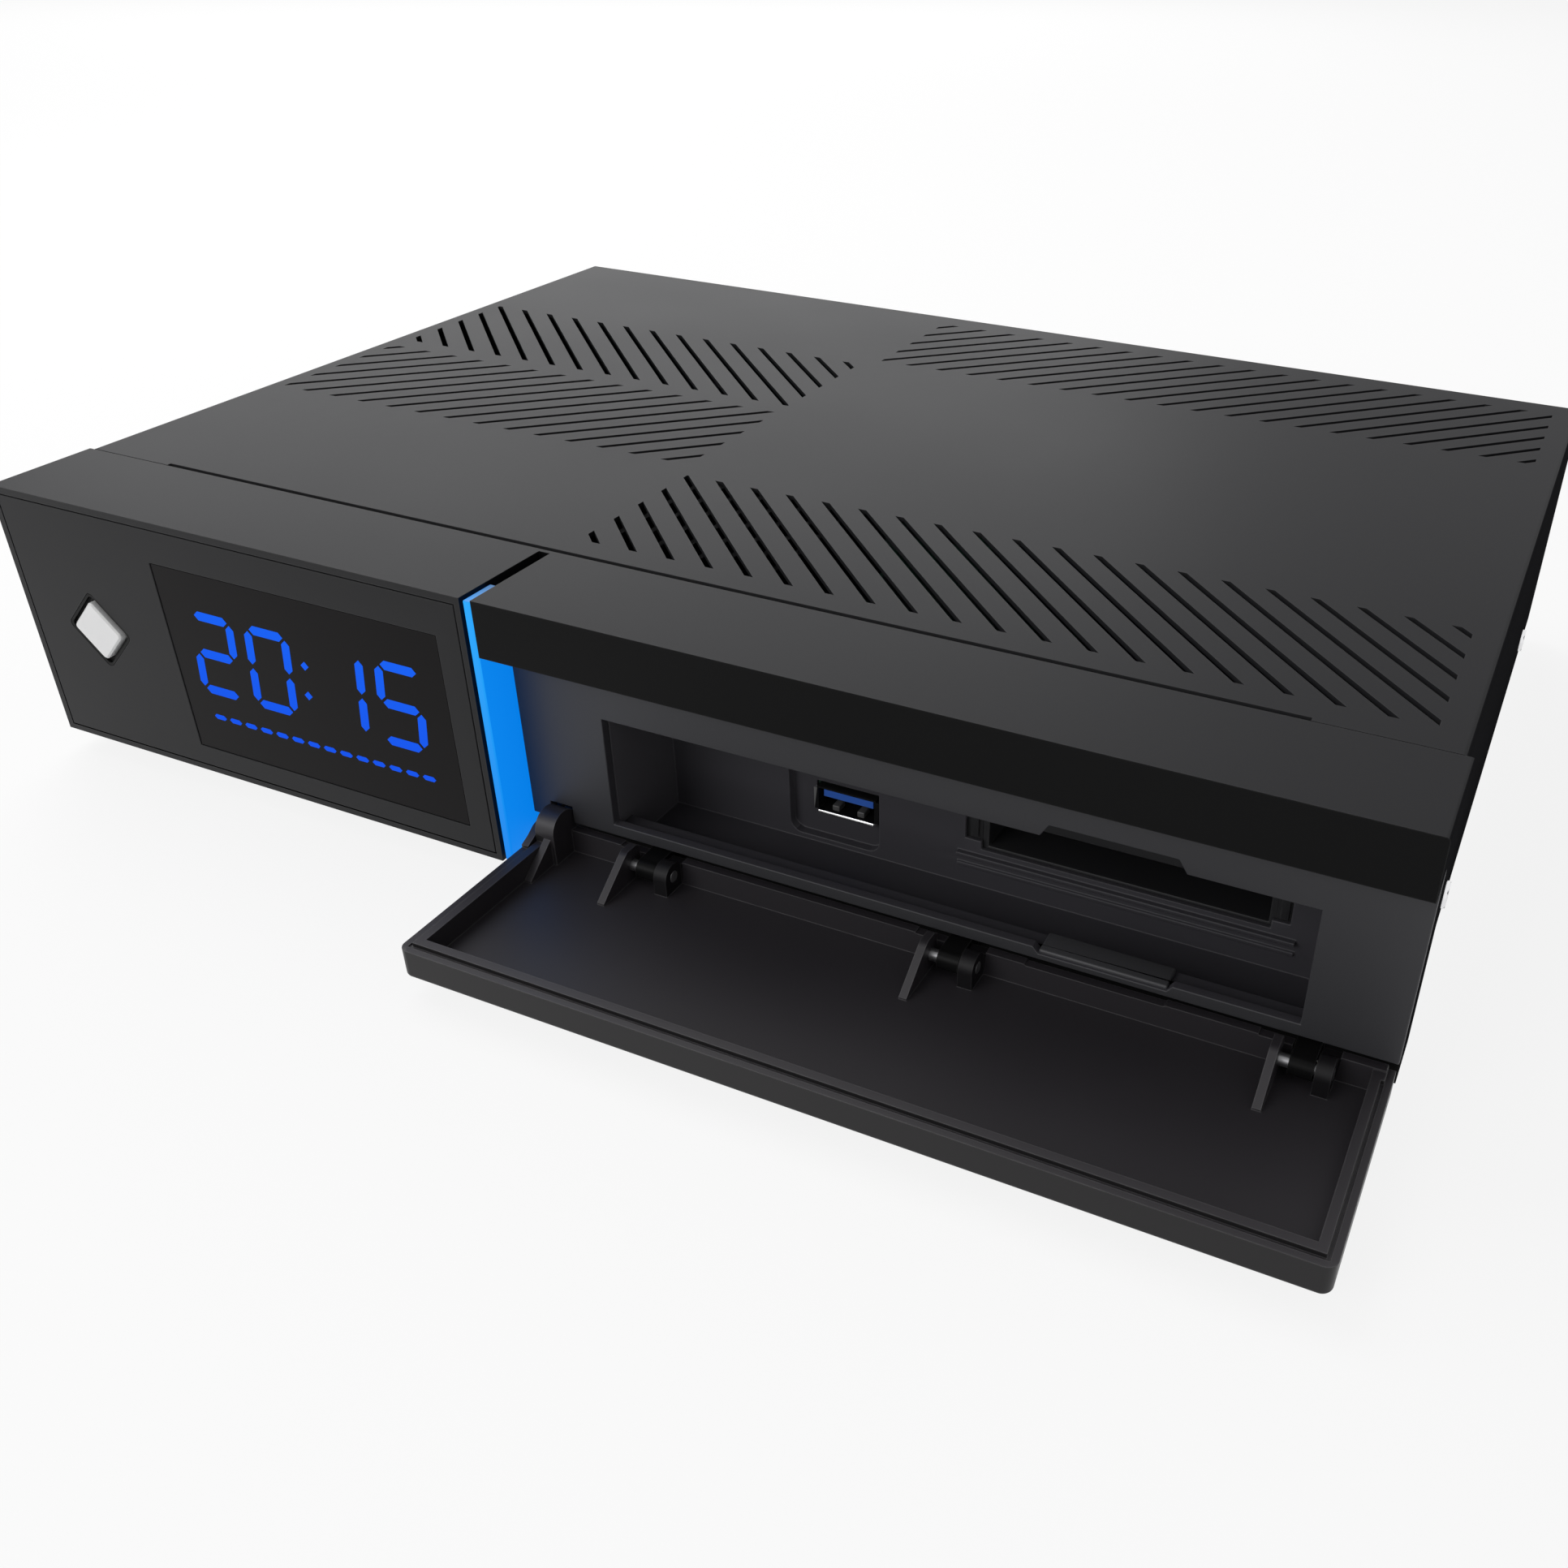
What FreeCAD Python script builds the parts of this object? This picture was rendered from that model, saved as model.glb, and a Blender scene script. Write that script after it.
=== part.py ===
import FreeCAD, Part
import math
import os

from FreeCAD import Placement, Rotation, Vector

# Satellite tv receiver: a flat steel case with a slotted lid, a moulded front with a colour
# display and a glowing edge, and a wide flap, shown open, over the card and USB recess.
# Every piece is drawn in case coordinates, in millimetres: x from the left side, y back from
# the front face, z up from the underside of the front. save() moves it to the part's own frame.

# Case
WIDTH = 300.0
HEIGHT = 58.6
DEPTH = 212.0
FOOT_HEIGHT = 5.0
WALL = 2.0
SHEET = 1.0
GAP = 0.3

# Front moulding
SEAM_Y = 25.0
LIP_BACK = 1.6
LIP_THICK = 0.75
SEAM_X = (23.5, 273.8)
SEAM_WIDTH = 1.0
BLOCK_RIGHT = 122.5
GUIDE_X = (123.1, 124.9)
RECESS_LEFT = 125.1
BAND_BOTTOM = 46.9
RECESS_Y = 8.33
PANEL_BACK = RECESS_Y + WALL
PANEL_BOTTOM = 8.0
RAIL_FRONT = 12.9
RAIL_BACK = 14.6

# Window in the recess panel, with a finger notch above and below
WINDOW_X = (144.9, 283.1)
WINDOW_Z = (10.5, 34.5)
NOTCH_X = (234.5, 260.6)
NOTCH_TOP = 37.0
NOTCH_BOTTOM = 9.2
NOTCH_SLOPE = 1.6

# Recess behind the window
LINER_FLOOR = 2.9
LINER_TOP = 38.0
LINER_BACK = 30.6
LINER_WALL = 1.0

# Flap and its hinge
DOOR_X = (128.5, 299.8)
DOOR_Z = (0.3, 46.5)
DOOR_SKIN = 2.0
DOOR_RIM = 6.8
DOOR_HEEL = 7.1
HEEL_THICK = 1.9
HEEL_LOW = 5.0
HEEL_DIP = (233.2, 260.0)
HEEL_DIP_SLOPE = 3.0
HEEL_DIP_LOW = 4.1
HINGE_Y = 5.25
HINGE_Z = 4.65
OPEN_ANGLE = 90.0
PIN_R = 1.2
RUNNING_FIT = 0.05
RIB_X = (133.0, 150.2, 215.2, 280.2)
RIB_THICK = 1.6
RIB_REACH = 15.2
HINGE_RIBS = RIB_X[1:]
KNUCKLE_STEP = 2.7
KNUCKLE_WIDTH = 4.3
KNUCKLE_R = 2.2
EAR_R = 2.9
EAR_THICK = 2.9
LUG_X = (130.2, 134.6)
LUG_R = 4.0

# Face plate, display and power button
PLATE_X = (1.8, 120.9)
PLATE_Z = (1.6, 56.8)
PLATE_THICK = 2.0
PLATE_FIT = 0.25
DISPLAY_X = (42.5, 115.4)
DISPLAY_Z = (6.4, 49.35)
DISPLAY_FIT = 0.12
BUTTON_X = 21.0
BUTTON_Z = 29.4
BUTTON_SIDE = 9.9
WELL_SIDE = 12.9
BUTTON_GAP = 0.2
BUTTON_PROUD = 0.7
BUTTON_TRAVEL = 0.8
STEM_SIDE = 3.0

# Lid slots: all at 45 degrees on one pitch, cut off square by the edge of their group
SLOT_PITCH = 8.66
SLOT_WIDTH = 1.35
SLOT_REACH = 420.0
LID_X = (1.0, 299.0)
LID_SCREW_Y = (60.0, 180.0)
LID_SCREW_Z = 8.6
SCREW_SIDES = 8

# Chassis
PAN_X = (2.4, 297.6)
PAN_Z = 0.8
FOOT_R = 9.2
FOOT_SIDES = 16
REAR_VENTS = 7
REAR_VENT = (18.0, 2.2)
REAR_VENT_PITCH = (19.0, 6.0)
BAFFLE_GAP = 4.0

# Main board and rear sockets
BOARD_Z = 8.0
BOARD_THICK = 1.6
BOARD_TOP = BOARD_Z + BOARD_THICK
BOARD_X = (14.0, 290.0)
BOARD_Y = (36.0, 206.0)
REAR_Y = DEPTH - 1.6
CI_X = (216.0, 271.4)
CI_SLOT_X = (211.4, 275.5)
CI_SLOT_Z = (11.8, 30.4)
CI_DEPTH = 82.0
CI_WALL = 1.3
CI_SLOT_HIGH = 6.6
USB_X = 185.1
USB_LIP = 10.3
USB_SHELL = (13.2, 5.8)
USB_SHEET = 0.35
USB_FLARE = 7.3
POCKET_X = (172.4, 192.6)
POCKET_Z = (4.1, 21.4)
POCKET_DEEP = 2.0
JACK_X = 22.0
SWITCH_X = 46.0
SWITCH_Z = 20.4
LAN_X = 74.0
USB_REAR_X = 98.0
HDMI_X = (120.0, 141.0)
OPTICAL_X = 158.0
TUNER_X = (192.0, 250.0)
TUNER_WIDTH = 50.0
F_PITCH = 24.0
F_Z = 19.0
F_LENGTH = 9.0
F_R = 4.7
F_BORE_R = 2.4
F_BORE_DEEP = 4.5
NUT_R = 6.2
NUT_THICK = 2.2
ROUND_SIDES = 16

# The part's own frame: the middle of the open part's footprint, on the surface it stands on
FRONT_REACH = HINGE_Y - (DOOR_Z[1] - HINGE_Z)
BACK_REACH = DEPTH + F_LENGTH
ORIGIN = Vector(WIDTH / 2, (FRONT_REACH + BACK_REACH) / 2, -FOOT_HEIGHT)


def box(x0, x1, y0, y1, z0, z1):
    return Part.makeBox(x1 - x0, y1 - y0, z1 - z0, Vector(x0, y0, z0))


def rod_x(r, x0, x1, y, z):
    return Part.makeCylinder(r, x1 - x0, Vector(x0, y, z), Vector(1, 0, 0))


def prism_xz(points, y0, y1):
    corners = [Vector(x, y0, z) for x, z in points]
    face = Part.Face(Part.makePolygon(corners + corners[:1]))
    return face.extrude(Vector(0, y1 - y0, 0))


def prism_yz(points, x0, x1):
    corners = [Vector(x0, y, z) for y, z in points]
    face = Part.Face(Part.makePolygon(corners + corners[:1]))
    return face.extrude(Vector(x1 - x0, 0, 0))


def prism_xy(points, z0, z1):
    corners = [Vector(x, y, z0) for x, y in points]
    face = Part.Face(Part.makePolygon(corners + corners[:1]))
    return face.extrude(Vector(0, 0, z1 - z0))


def ring(sides, r, a, b):
    """Corners of a regular polygon round the point (a, b)."""
    turns = [math.radians(360.0 / sides * (i + 0.5)) for i in range(sides)]
    return [(a + r * math.cos(turn), b + r * math.sin(turn)) for turn in turns]


def fuse(*shapes):
    return shapes[0].multiFuse(list(shapes[1:])).removeSplitter()


def cut(shape, *tools):
    return shape.cut(Part.makeCompound(list(tools))).removeSplitter()


def edges_along(shape, direction, keep):
    """Edges that run along a direction and whose middle passes the test."""
    found = []
    for edge in shape.Edges:
        ends = [v.Point for v in edge.Vertexes]
        if len(ends) != 2:
            continue
        run = ends[1] - ends[0]
        if run.Length > 0.01 and abs(run.dot(direction)) > 0.999 * run.Length:
            if keep((ends[0] + ends[1]) * 0.5):
                found.append(edge)
    return found


def diamond(x, z, side, y0, y1):
    half = side / 2
    square = box(-half, half, y0, y1, -half, half)
    square = square.makeFillet(side * 0.1, edges_along(square, Vector(0, 1, 0), lambda p: True))
    return moved(square, Vector(x, 0, z), Rotation(Vector(0, 1, 0), 45))


def moved(shape, place, turn=Rotation()):
    copy = shape.copy()
    copy.Placement = Placement(place, turn).multiply(copy.Placement)
    return copy


def save(name, *solids):
    shape = solids[0] if len(solids) == 1 else Part.makeCompound(list(solids))
    placed = moved(shape, ORIGIN * -1)
    placed.exportStep("parts/" + name + ".step")


# Case

def slot_group(x_range, y_range, first, count, lean):
    """Strips at 45 degrees, cut off by the edges of their group; lean 1 rises, -1 falls."""
    area = box(*x_range, *y_range, HEIGHT - 3, HEIGHT + 3)
    strip = box(-SLOT_REACH, SLOT_REACH, -SLOT_WIDTH / 2, SLOT_WIDTH / 2, HEIGHT - 2, HEIGHT + 2)
    turn = Rotation(Vector(0, 0, 1), 45 * lean)
    slots = []
    for i in range(count):
        half = (first + SLOT_PITCH * i) / 2
        slots.append(moved(strip, Vector(half, -lean * half, 0), turn).common(area))
    return slots


def lid_slots():
    slots = slot_group((126.0, 293.0), (32.0, 71.3), 162.0, 24, -1)
    slots += slot_group((5.5, 122.4), (122.0, 160.3), 131.3, 18, -1)
    slots += slot_group((5.2, 122.4), (77.0, 116.4), -108.0, 18, 1)
    slots += slot_group((126.2, 293.0), (165.5, 205.0), -74.7, 24, 1)
    return slots


def top_cover():
    outer = box(LID_X[0], LID_X[1], SEAM_Y, DEPTH, 1.0, HEIGHT)
    bends = edges_along(outer, Vector(0, 1, 0), lambda p: p.z > HEIGHT - 1)
    outer = outer.makeFillet(1.2, bends)
    hollow = box(LID_X[0] + SHEET, LID_X[1] - SHEET, SEAM_Y - 1, DEPTH + 1, 0, HEIGHT - SHEET)
    seam = box(*SEAM_X, SEAM_Y - 1, SEAM_Y + SEAM_WIDTH, HEIGHT - WALL, HEIGHT + 1)
    side_holes = [prism_yz(ring(SCREW_SIDES, 1.7, y, LID_SCREW_Z), 0, WIDTH) for y in LID_SCREW_Y]
    return cut(outer, hollow, seam, *side_holes, *lid_slots())


def base_pan():
    left, right = PAN_X
    front_y = SEAM_Y + 0.4
    floor = box(left, right, front_y, REAR_Y, PAN_Z, PAN_Z + SHEET)
    sides = [box(x, x + SHEET, front_y, REAR_Y, PAN_Z, 16.0) for x in (left, right - SHEET)]
    front = box(left, right, front_y, front_y + SHEET, PAN_Z, HEIGHT - WALL)
    pan = fuse(floor, front, *sides)
    liner_way = box(WINDOW_X[0] - 2.0, WINDOW_X[1] + 2.0, SEAM_Y, SEAM_Y + 2, 1.5, LINER_TOP + 2.0)
    cable_way = box(50.0, 110.0, SEAM_Y, SEAM_Y + 2, 20.0, 34.0)
    vents = []
    for i in range(12):
        x = 40.0 + 18.0 * i
        vents += [box(x, x + 4, y, y + 30, 0, 3) for y in (60.0, 140.0)]
    threads = [prism_yz(ring(SCREW_SIDES, 1.25, y, LID_SCREW_Z), 0, WIDTH) for y in LID_SCREW_Y]
    return cut(pan, liner_way, cable_way, *vents, *threads)


def feet_places():
    return [(26.0, 44.0), (274.0, 44.0), (26.0, 190.0), (274.0, 190.0)]


def rubber_feet():
    feet = []
    for x, y in feet_places():
        foot = prism_xy(ring(FOOT_SIDES, FOOT_R, x, y), -FOOT_HEIGHT, PAN_Z)
        well = prism_xy(ring(SCREW_SIDES, 3.6, x, y), -FOOT_HEIGHT - 1, -FOOT_HEIGHT + 2.4)
        feet.append(cut(foot, well))
    return feet


def rear_vents():
    slots = []
    for row in range(2):
        z = 38.0 + REAR_VENT_PITCH[1] * row
        for i in range(REAR_VENTS):
            x = 16.0 + REAR_VENT_PITCH[0] * i
            slots.append(box(x, x + REAR_VENT[0], REAR_Y - 1, DEPTH, z, z + REAR_VENT[1]))
    return slots


def vent_baffle():
    """A folded strip behind the air slots, fixed along its top."""
    x0, x1 = 14.0, 150.0
    leaf = box(x0, x1, REAR_Y - BAFFLE_GAP - SHEET, REAR_Y - BAFFLE_GAP, 34.0, 52.0)
    flange = box(x0, x1, REAR_Y - BAFFLE_GAP - SHEET, REAR_Y + 0.1, 51.0, 52.0)
    return fuse(leaf, flange)


def rear_panel():
    panel = box(*PAN_X, REAR_Y, REAR_Y + SHEET, PAN_Z, HEIGHT - SHEET - 0.1)
    ways = [
        prism_xz(ring(ROUND_SIDES, 5.3, JACK_X, BOARD_TOP + 6.0), REAR_Y - 1, DEPTH),
        box(SWITCH_X - 6.7, SWITCH_X + 6.7, REAR_Y - 1, DEPTH, SWITCH_Z - 9.7, SWITCH_Z + 9.7),
        box(LAN_X - 8.3, LAN_X + 8.3, REAR_Y - 1, DEPTH, BOARD_TOP - 0.2, BOARD_TOP + 13.8),
        box(USB_REAR_X - 7.0, USB_REAR_X + 7.0, REAR_Y - 1, DEPTH, BOARD_TOP - 0.2, BOARD_TOP + 15.9),
        box(OPTICAL_X - 5.2, OPTICAL_X + 5.2, REAR_Y - 1, DEPTH, BOARD_TOP - 0.2, BOARD_TOP + 10.3),
    ]
    ways += [box(x - 7.8, x + 7.8, REAR_Y - 1, DEPTH, BOARD_TOP - 0.2, BOARD_TOP + 6.4) for x in HDMI_X]
    ways += [prism_xz(ring(ROUND_SIDES, F_R + 0.3, x, F_Z), REAR_Y - 1, DEPTH) for x in f_places()]
    return fuse(cut(panel, *ways, *rear_vents()), vent_baffle())


# Front moulding

def front_bezel():
    back = SEAM_Y - 0.2
    top = box(0, WIDTH, 0, back, HEIGHT - WALL, HEIGHT)
    lip_top = HEIGHT - SHEET - 0.1
    lip = box(SEAM_X[0] - 1, SEAM_X[1] + 1, back - 0.1, SEAM_Y + LIP_BACK, lip_top - LIP_THICK, lip_top)
    block = [
        box(0, BLOCK_RIGHT, 0, WALL + 1.2, 0, HEIGHT),
        box(0, WALL, 0, back, 0, HEIGHT),
        box(0, BLOCK_RIGHT, 0, back, 0, WALL),
        box(BLOCK_RIGHT - 1.4, BLOCK_RIGHT, 0, back, 0, HEIGHT),
    ]
    band = [
        box(RECESS_LEFT, WIDTH, 0, WALL, BAND_BOTTOM, HEIGHT),
        box(RECESS_LEFT, WIDTH, 0, PANEL_BACK + 2, BAND_BOTTOM, BAND_BOTTOM + 1.6),
        box(WIDTH - WALL, WIDTH, 0, PANEL_BACK + 2, BAND_BOTTOM, HEIGHT),
    ]
    right = [
        box(WIDTH - WALL, WIDTH, PANEL_BACK + 0.1, back, PANEL_BOTTOM, HEIGHT),
        box(WIDTH - WALL, WIDTH, RAIL_FRONT, back, 0, PANEL_BOTTOM + 1),
        box(BLOCK_RIGHT - 1, WIDTH, RAIL_FRONT, back, 0, 1.6),
        box(BLOCK_RIGHT - 1, WIDTH, RAIL_FRONT, RAIL_BACK, 0, PANEL_BOTTOM - 0.1),
    ]
    arms = []
    pin_ways = []
    for x in knuckles():
        low, high = HINGE_Z - KNUCKLE_R, HINGE_Z + KNUCKLE_R
        arms.append(rod_x(KNUCKLE_R, x, x + KNUCKLE_WIDTH, HINGE_Y, HINGE_Z))
        arms.append(box(x, x + KNUCKLE_WIDTH, HINGE_Y, RAIL_FRONT + 0.5, low, high))
        pin_ways.append(rod_x(PIN_R, x - 1, x + KNUCKLE_WIDTH + 1, HINGE_Y, HINGE_Z))
    bezel = fuse(top, lip, *block, *band, *right, *arms)
    seat_x = (PLATE_X[0] - PLATE_FIT, PLATE_X[1] + PLATE_FIT)
    seat_z = (PLATE_Z[0] - PLATE_FIT, PLATE_Z[1] + PLATE_FIT)
    plate_seat = box(*seat_x, -1, PLATE_THICK + 0.05, *seat_z)
    way_x = (DISPLAY_X[0] - 1.5, DISPLAY_X[1] + 1.5)
    way_z = (DISPLAY_Z[0] - 1.5, DISPLAY_Z[1] + 1.5)
    display_way = box(*way_x, 0, WALL + 2, *way_z)
    button_way = prism_xz(ring(SCREW_SIDES, 11.9, BUTTON_X, BUTTON_Z), 0, WALL + 2)
    guide_way = box(BLOCK_RIGHT, RECESS_LEFT, -1, back - 1, HEIGHT - WALL - 1, HEIGHT + 1)
    bezel = cut(bezel, plate_seat, display_way, button_way, guide_way, *pin_ways)
    tops = edges_along(bezel, Vector(0, 1, 0), lambda p: p.z > HEIGHT - 0.01)
    ends = [e for e in tops if e.BoundBox.XMin < 0.01 or e.BoundBox.XMax > WIDTH - 0.01]
    return bezel.makeFillet(0.8, ends)


def knuckles():
    """Left ends of the bezel's hinge arms, one to the right of each hinge rib."""
    return [x + KNUCKLE_STEP for x in HINGE_RIBS]


def recess_panel():
    panel = box(RECESS_LEFT + 0.1, WIDTH, RECESS_Y, PANEL_BACK, PANEL_BOTTOM, BAND_BOTTOM - 0.05)
    sill = box(RECESS_LEFT + 0.1, WIDTH - WALL - 0.1, RECESS_Y, RAIL_BACK, PANEL_BOTTOM, PANEL_BOTTOM + 1.0)
    window = box(WINDOW_X[0], WINDOW_X[1], 0, PANEL_BACK + 1, WINDOW_Z[0], WINDOW_Z[1])
    notch = prism_xz([
        (NOTCH_X[0], WINDOW_Z[1] - 1), (NOTCH_X[0], WINDOW_Z[1]), (NOTCH_X[0] + NOTCH_SLOPE, NOTCH_TOP),
        (NOTCH_X[1] - NOTCH_SLOPE, NOTCH_TOP), (NOTCH_X[1], WINDOW_Z[1]), (NOTCH_X[1], WINDOW_Z[1] - 1),
    ], 0, PANEL_BACK + 1)
    dip = prism_xz([
        (NOTCH_X[0], WINDOW_Z[0] + 1), (NOTCH_X[0], WINDOW_Z[0]), (NOTCH_X[0] + 1.0, NOTCH_BOTTOM),
        (NOTCH_X[1] - 1.0, NOTCH_BOTTOM), (NOTCH_X[1], WINDOW_Z[0]), (NOTCH_X[1], WINDOW_Z[0] + 1),
    ], 0, PANEL_BACK + 1)
    lug_way = box(LUG_X[0] - 0.4, LUG_X[1] + 0.4, 0, RAIL_FRONT + 0.2, PANEL_BOTTOM - 1, 11.8)
    return cut(fuse(panel, sill), window, notch, dip, lug_way)


def recess_liner():
    x0, x1 = WINDOW_X
    w = LINER_WALL
    back, shut = LINER_BACK, LINER_BACK + w
    floor, top = LINER_FLOOR - w, LINER_TOP + w
    walls = [
        box(x0 - w, x1 + w, RAIL_BACK + 0.1, shut, floor, LINER_FLOOR),
        box(x0 - w, x1 + w, PANEL_BACK + 0.1, shut, LINER_TOP, top),
        box(x0 - w, x1 + w, back, shut, floor, top),
    ]
    for x in (x0 - w, x1):
        walls.append(box(x, x + w, PANEL_BACK + 0.1, shut, PANEL_BOTTOM + 1.1, top))
        walls.append(box(x, x + w, RAIL_BACK + 0.1, shut, floor, top))
    pocket_wall = box(POCKET_X[0] - 1.6, POCKET_X[1] + 1.6, back, shut + POCKET_DEEP, 3.0, 23.0)
    liner = fuse(*walls, pocket_wall)
    pocket = box(*POCKET_X, back - 1, back + POCKET_DEEP, *POCKET_Z)
    pocket = pocket.makeFillet(2.6, edges_along(pocket, Vector(0, 1, 0), lambda p: True))
    usb_way = box(USB_X - 7.4, USB_X + 7.4, back, back + 5, USB_LIP - 0.2, USB_LIP + 6.1)
    slot_left, slot_right = CI_SLOT_X
    slot_low = CI_SLOT_Z[0]
    card_way = box(slot_left, slot_right, back - 1, back + 5, *CI_SLOT_Z)
    trims = [
        box(slot_left - 1.4, slot_left + 3.4, back, shut, slot_low, slot_low + 1.8),
        box(slot_right - 3.4, slot_right + 1.4, back, shut, slot_low, slot_low + 1.8),
        box(slot_left - 1.5, slot_right + 1.5, back - 1.2, back, slot_low - 2.0, slot_low - 1.2),
        box(slot_left - 1.5, slot_right + 1.5, back - 0.6, back, slot_low - 4.6, slot_low - 3.8),
    ]
    return fuse(cut(liner, pocket, usb_way, card_way), *trims)


def face_plate():
    plate = box(PLATE_X[0], PLATE_X[1], 0, PLATE_THICK, PLATE_Z[0], PLATE_Z[1])
    window = box(DISPLAY_X[0], DISPLAY_X[1], -1, PLATE_THICK + 1, DISPLAY_Z[0], DISPLAY_Z[1])
    well = diamond(BUTTON_X, BUTTON_Z, WELL_SIDE, -1, PLATE_THICK + 1)
    return cut(plate, window, well)


def display_window():
    x = (DISPLAY_X[0] + DISPLAY_FIT, DISPLAY_X[1] - DISPLAY_FIT)
    z = (DISPLAY_Z[0] + DISPLAY_FIT, DISPLAY_Z[1] - DISPLAY_FIT)
    return box(*x, 0.15, PLATE_THICK, *z)


def display_module():
    x = (DISPLAY_X[0] - 1.2, DISPLAY_X[1] + 1.2)
    z = (DISPLAY_Z[0] - 1.2, DISPLAY_Z[1] + 1.2)
    frame = box(*x, PLATE_THICK + 0.1, 6.4, *z)
    ribbon = box(66, 92, 6.4, 6.8, 12.0, 40.0)
    return fuse(frame, ribbon)


def button_surround():
    tray = diamond(BUTTON_X, BUTTON_Z, WELL_SIDE - 0.1, 0.9, PLATE_THICK)
    rim = diamond(BUTTON_X, BUTTON_Z, WELL_SIDE - 0.1, 0.1, PLATE_THICK)
    rim = cut(rim, diamond(BUTTON_X, BUTTON_Z, WELL_SIDE - 1.1, -1, PLATE_THICK + 1))
    y = PLATE_THICK + 0.1
    flange = box(BUTTON_X - 8.5, BUTTON_X + 8.5, y, y + 1, BUTTON_Z - 6, BUTTON_Z + 6)
    neck = diamond(BUTTON_X, BUTTON_Z, WELL_SIDE - 1.1, PLATE_THICK - 0.1, PLATE_THICK + 0.2)
    way = diamond(BUTTON_X, BUTTON_Z, BUTTON_SIDE + 2 * BUTTON_GAP, -1, PLATE_THICK + 3)
    return cut(fuse(tray, rim, neck, flange), way)


def power_button():
    cap = diamond(BUTTON_X, BUTTON_Z, BUTTON_SIDE, -BUTTON_PROUD, 3.6)
    front = [e for e in cap.Edges if all(abs(v.Point.y + BUTTON_PROUD) < 0.01 for v in e.Vertexes)]
    cap = cap.makeChamfer(0.4, front)
    return fuse(cap, square_post(STEM_SIDE, 3.5, 6.5))


def square_post(side, y0, y1):
    """A square post behind the button's middle."""
    half = side / 2
    return box(BUTTON_X - half, BUTTON_X + half, y0, y1, BUTTON_Z - half, BUTTON_Z + half)


def key_switch():
    plunger = square_post(STEM_SIDE, 6.5 + BUTTON_TRAVEL + 0.2, 9.1)
    return fuse(square_post(6.2, 9.0, 10.9), plunger)


def front_board():
    board = box(5.0, 119.0, 11.0, 12.6, 4.0, 54.0)
    chips = [box(36, 56, 12.6, 14.2, 14, 34), box(74, 86, 12.6, 13.8, 30, 42), box(12, 20, 12.6, 17.6, 8, 30)]
    return fuse(board, *chips)


def light_guide():
    blade = box(*GUIDE_X, 0.2, RECESS_Y - 0.1, 0.4, HEIGHT - 0.5)
    tail = box(*GUIDE_X, RECESS_Y - 0.2, RAIL_FRONT - 0.2, 3.0, HEIGHT - 4.0)
    front = edges_along(blade, Vector(0, 0, 1), lambda p: p.y < 0.3)
    return fuse(blade.makeChamfer(0.25, front), tail)


def light_board():
    left = BLOCK_RIGHT + 0.2
    board = box(left, left + BOARD_THICK, 16.0, 24.0, 4.0, 52.0)
    lamps = [box(left + 0.1, left + 1.5, 14.8, 16.0, z, z + 3) for z in (10.0, 22.0, 34.0, 46.0)]
    return fuse(board, *lamps)


# Flap

def door_tray():
    x0, x1 = DOOR_X
    z0, z1 = DOOR_Z
    skin = box(x0, x1, 0, DOOR_SKIN, z0, z1)
    rim = box(x0, x1, 0, DOOR_RIM, z0, z1)
    corners = edges_along(rim, Vector(0, 1, 0), lambda p: p.z > z1 - 1)
    rim = rim.makeFillet(2.0, corners)
    skin = rim.common(skin)
    pocket = box(x0 + 3.6, x1 - 3.6, DOOR_SKIN, DOOR_RIM + 1, z0 + 1.9, z1 - 3.8)
    ridge = DOOR_RIM - 0.9
    groove = cut(
        box(x0 + 1.3, x1 - 1.3, ridge, DOOR_RIM + 1, z0 + 4.0, z1 - 1.4),
        box(x0 + 1.9, x1 - 1.9, ridge - 0.1, DOOR_RIM + 2, z0 + 3.9, z1 - 2.0),
    )
    step = cut(
        box(x0 - 1, x1 + 1, ridge + 0.3, DOOR_RIM + 1, z0 - 1, z1 + 1),
        box(x0 + 1.3, x1 - 1.3, ridge - 0.1, DOOR_RIM + 2, z0 - 2, z1 - 1.4),
    )
    tray = fuse(cut(rim, pocket, groove, step), skin, door_heel())
    nose = edges_along(tray, Vector(1, 0, 0), lambda p: p.y < 0.01 and abs(p.z - (z0 + z1) / 2) > 23.0)
    return tray.makeFillet(0.8, nose)


def door_heel():
    """The wall along the hinge side, lower beside each hinge and dipped below the finger notch."""
    x0, x1 = DOOR_X
    z0 = DOOR_Z[0]
    heel = box(x0 + 1.4, x1 - 1.4, 0.5, DOOR_HEEL, z0, z0 + HEEL_THICK)
    lows = [box(x - 3.6, x + 10.6, HEEL_LOW, DOOR_HEEL + 1, -1, z0 + HEEL_THICK + 1) for x in HINGE_RIBS]
    left, right = HEEL_DIP
    dip = prism_xy([
        (left, DOOR_HEEL + 0.1), (left + HEEL_DIP_SLOPE, HEEL_DIP_LOW),
        (right - HEEL_DIP_SLOPE, HEEL_DIP_LOW), (right, DOOR_HEEL + 0.1),
    ], -1, z0 + HEEL_THICK + 1)
    return cut(heel, *lows, dip)


def door_ribs():
    """Gussets from the heel to the floor; three of them carry the hinge pins."""
    foot = DOOR_SKIN - 0.2
    outline = [
        (foot, 2.0), (8.0, 2.0), (9.0, 3.2), (9.1, 6.0), (8.4, 7.2),
        (DOOR_SKIN + 0.4, RIB_REACH), (foot, RIB_REACH),
    ]
    return [prism_yz(outline, x - RIB_THICK / 2, x + RIB_THICK / 2) for x in RIB_X]


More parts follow.
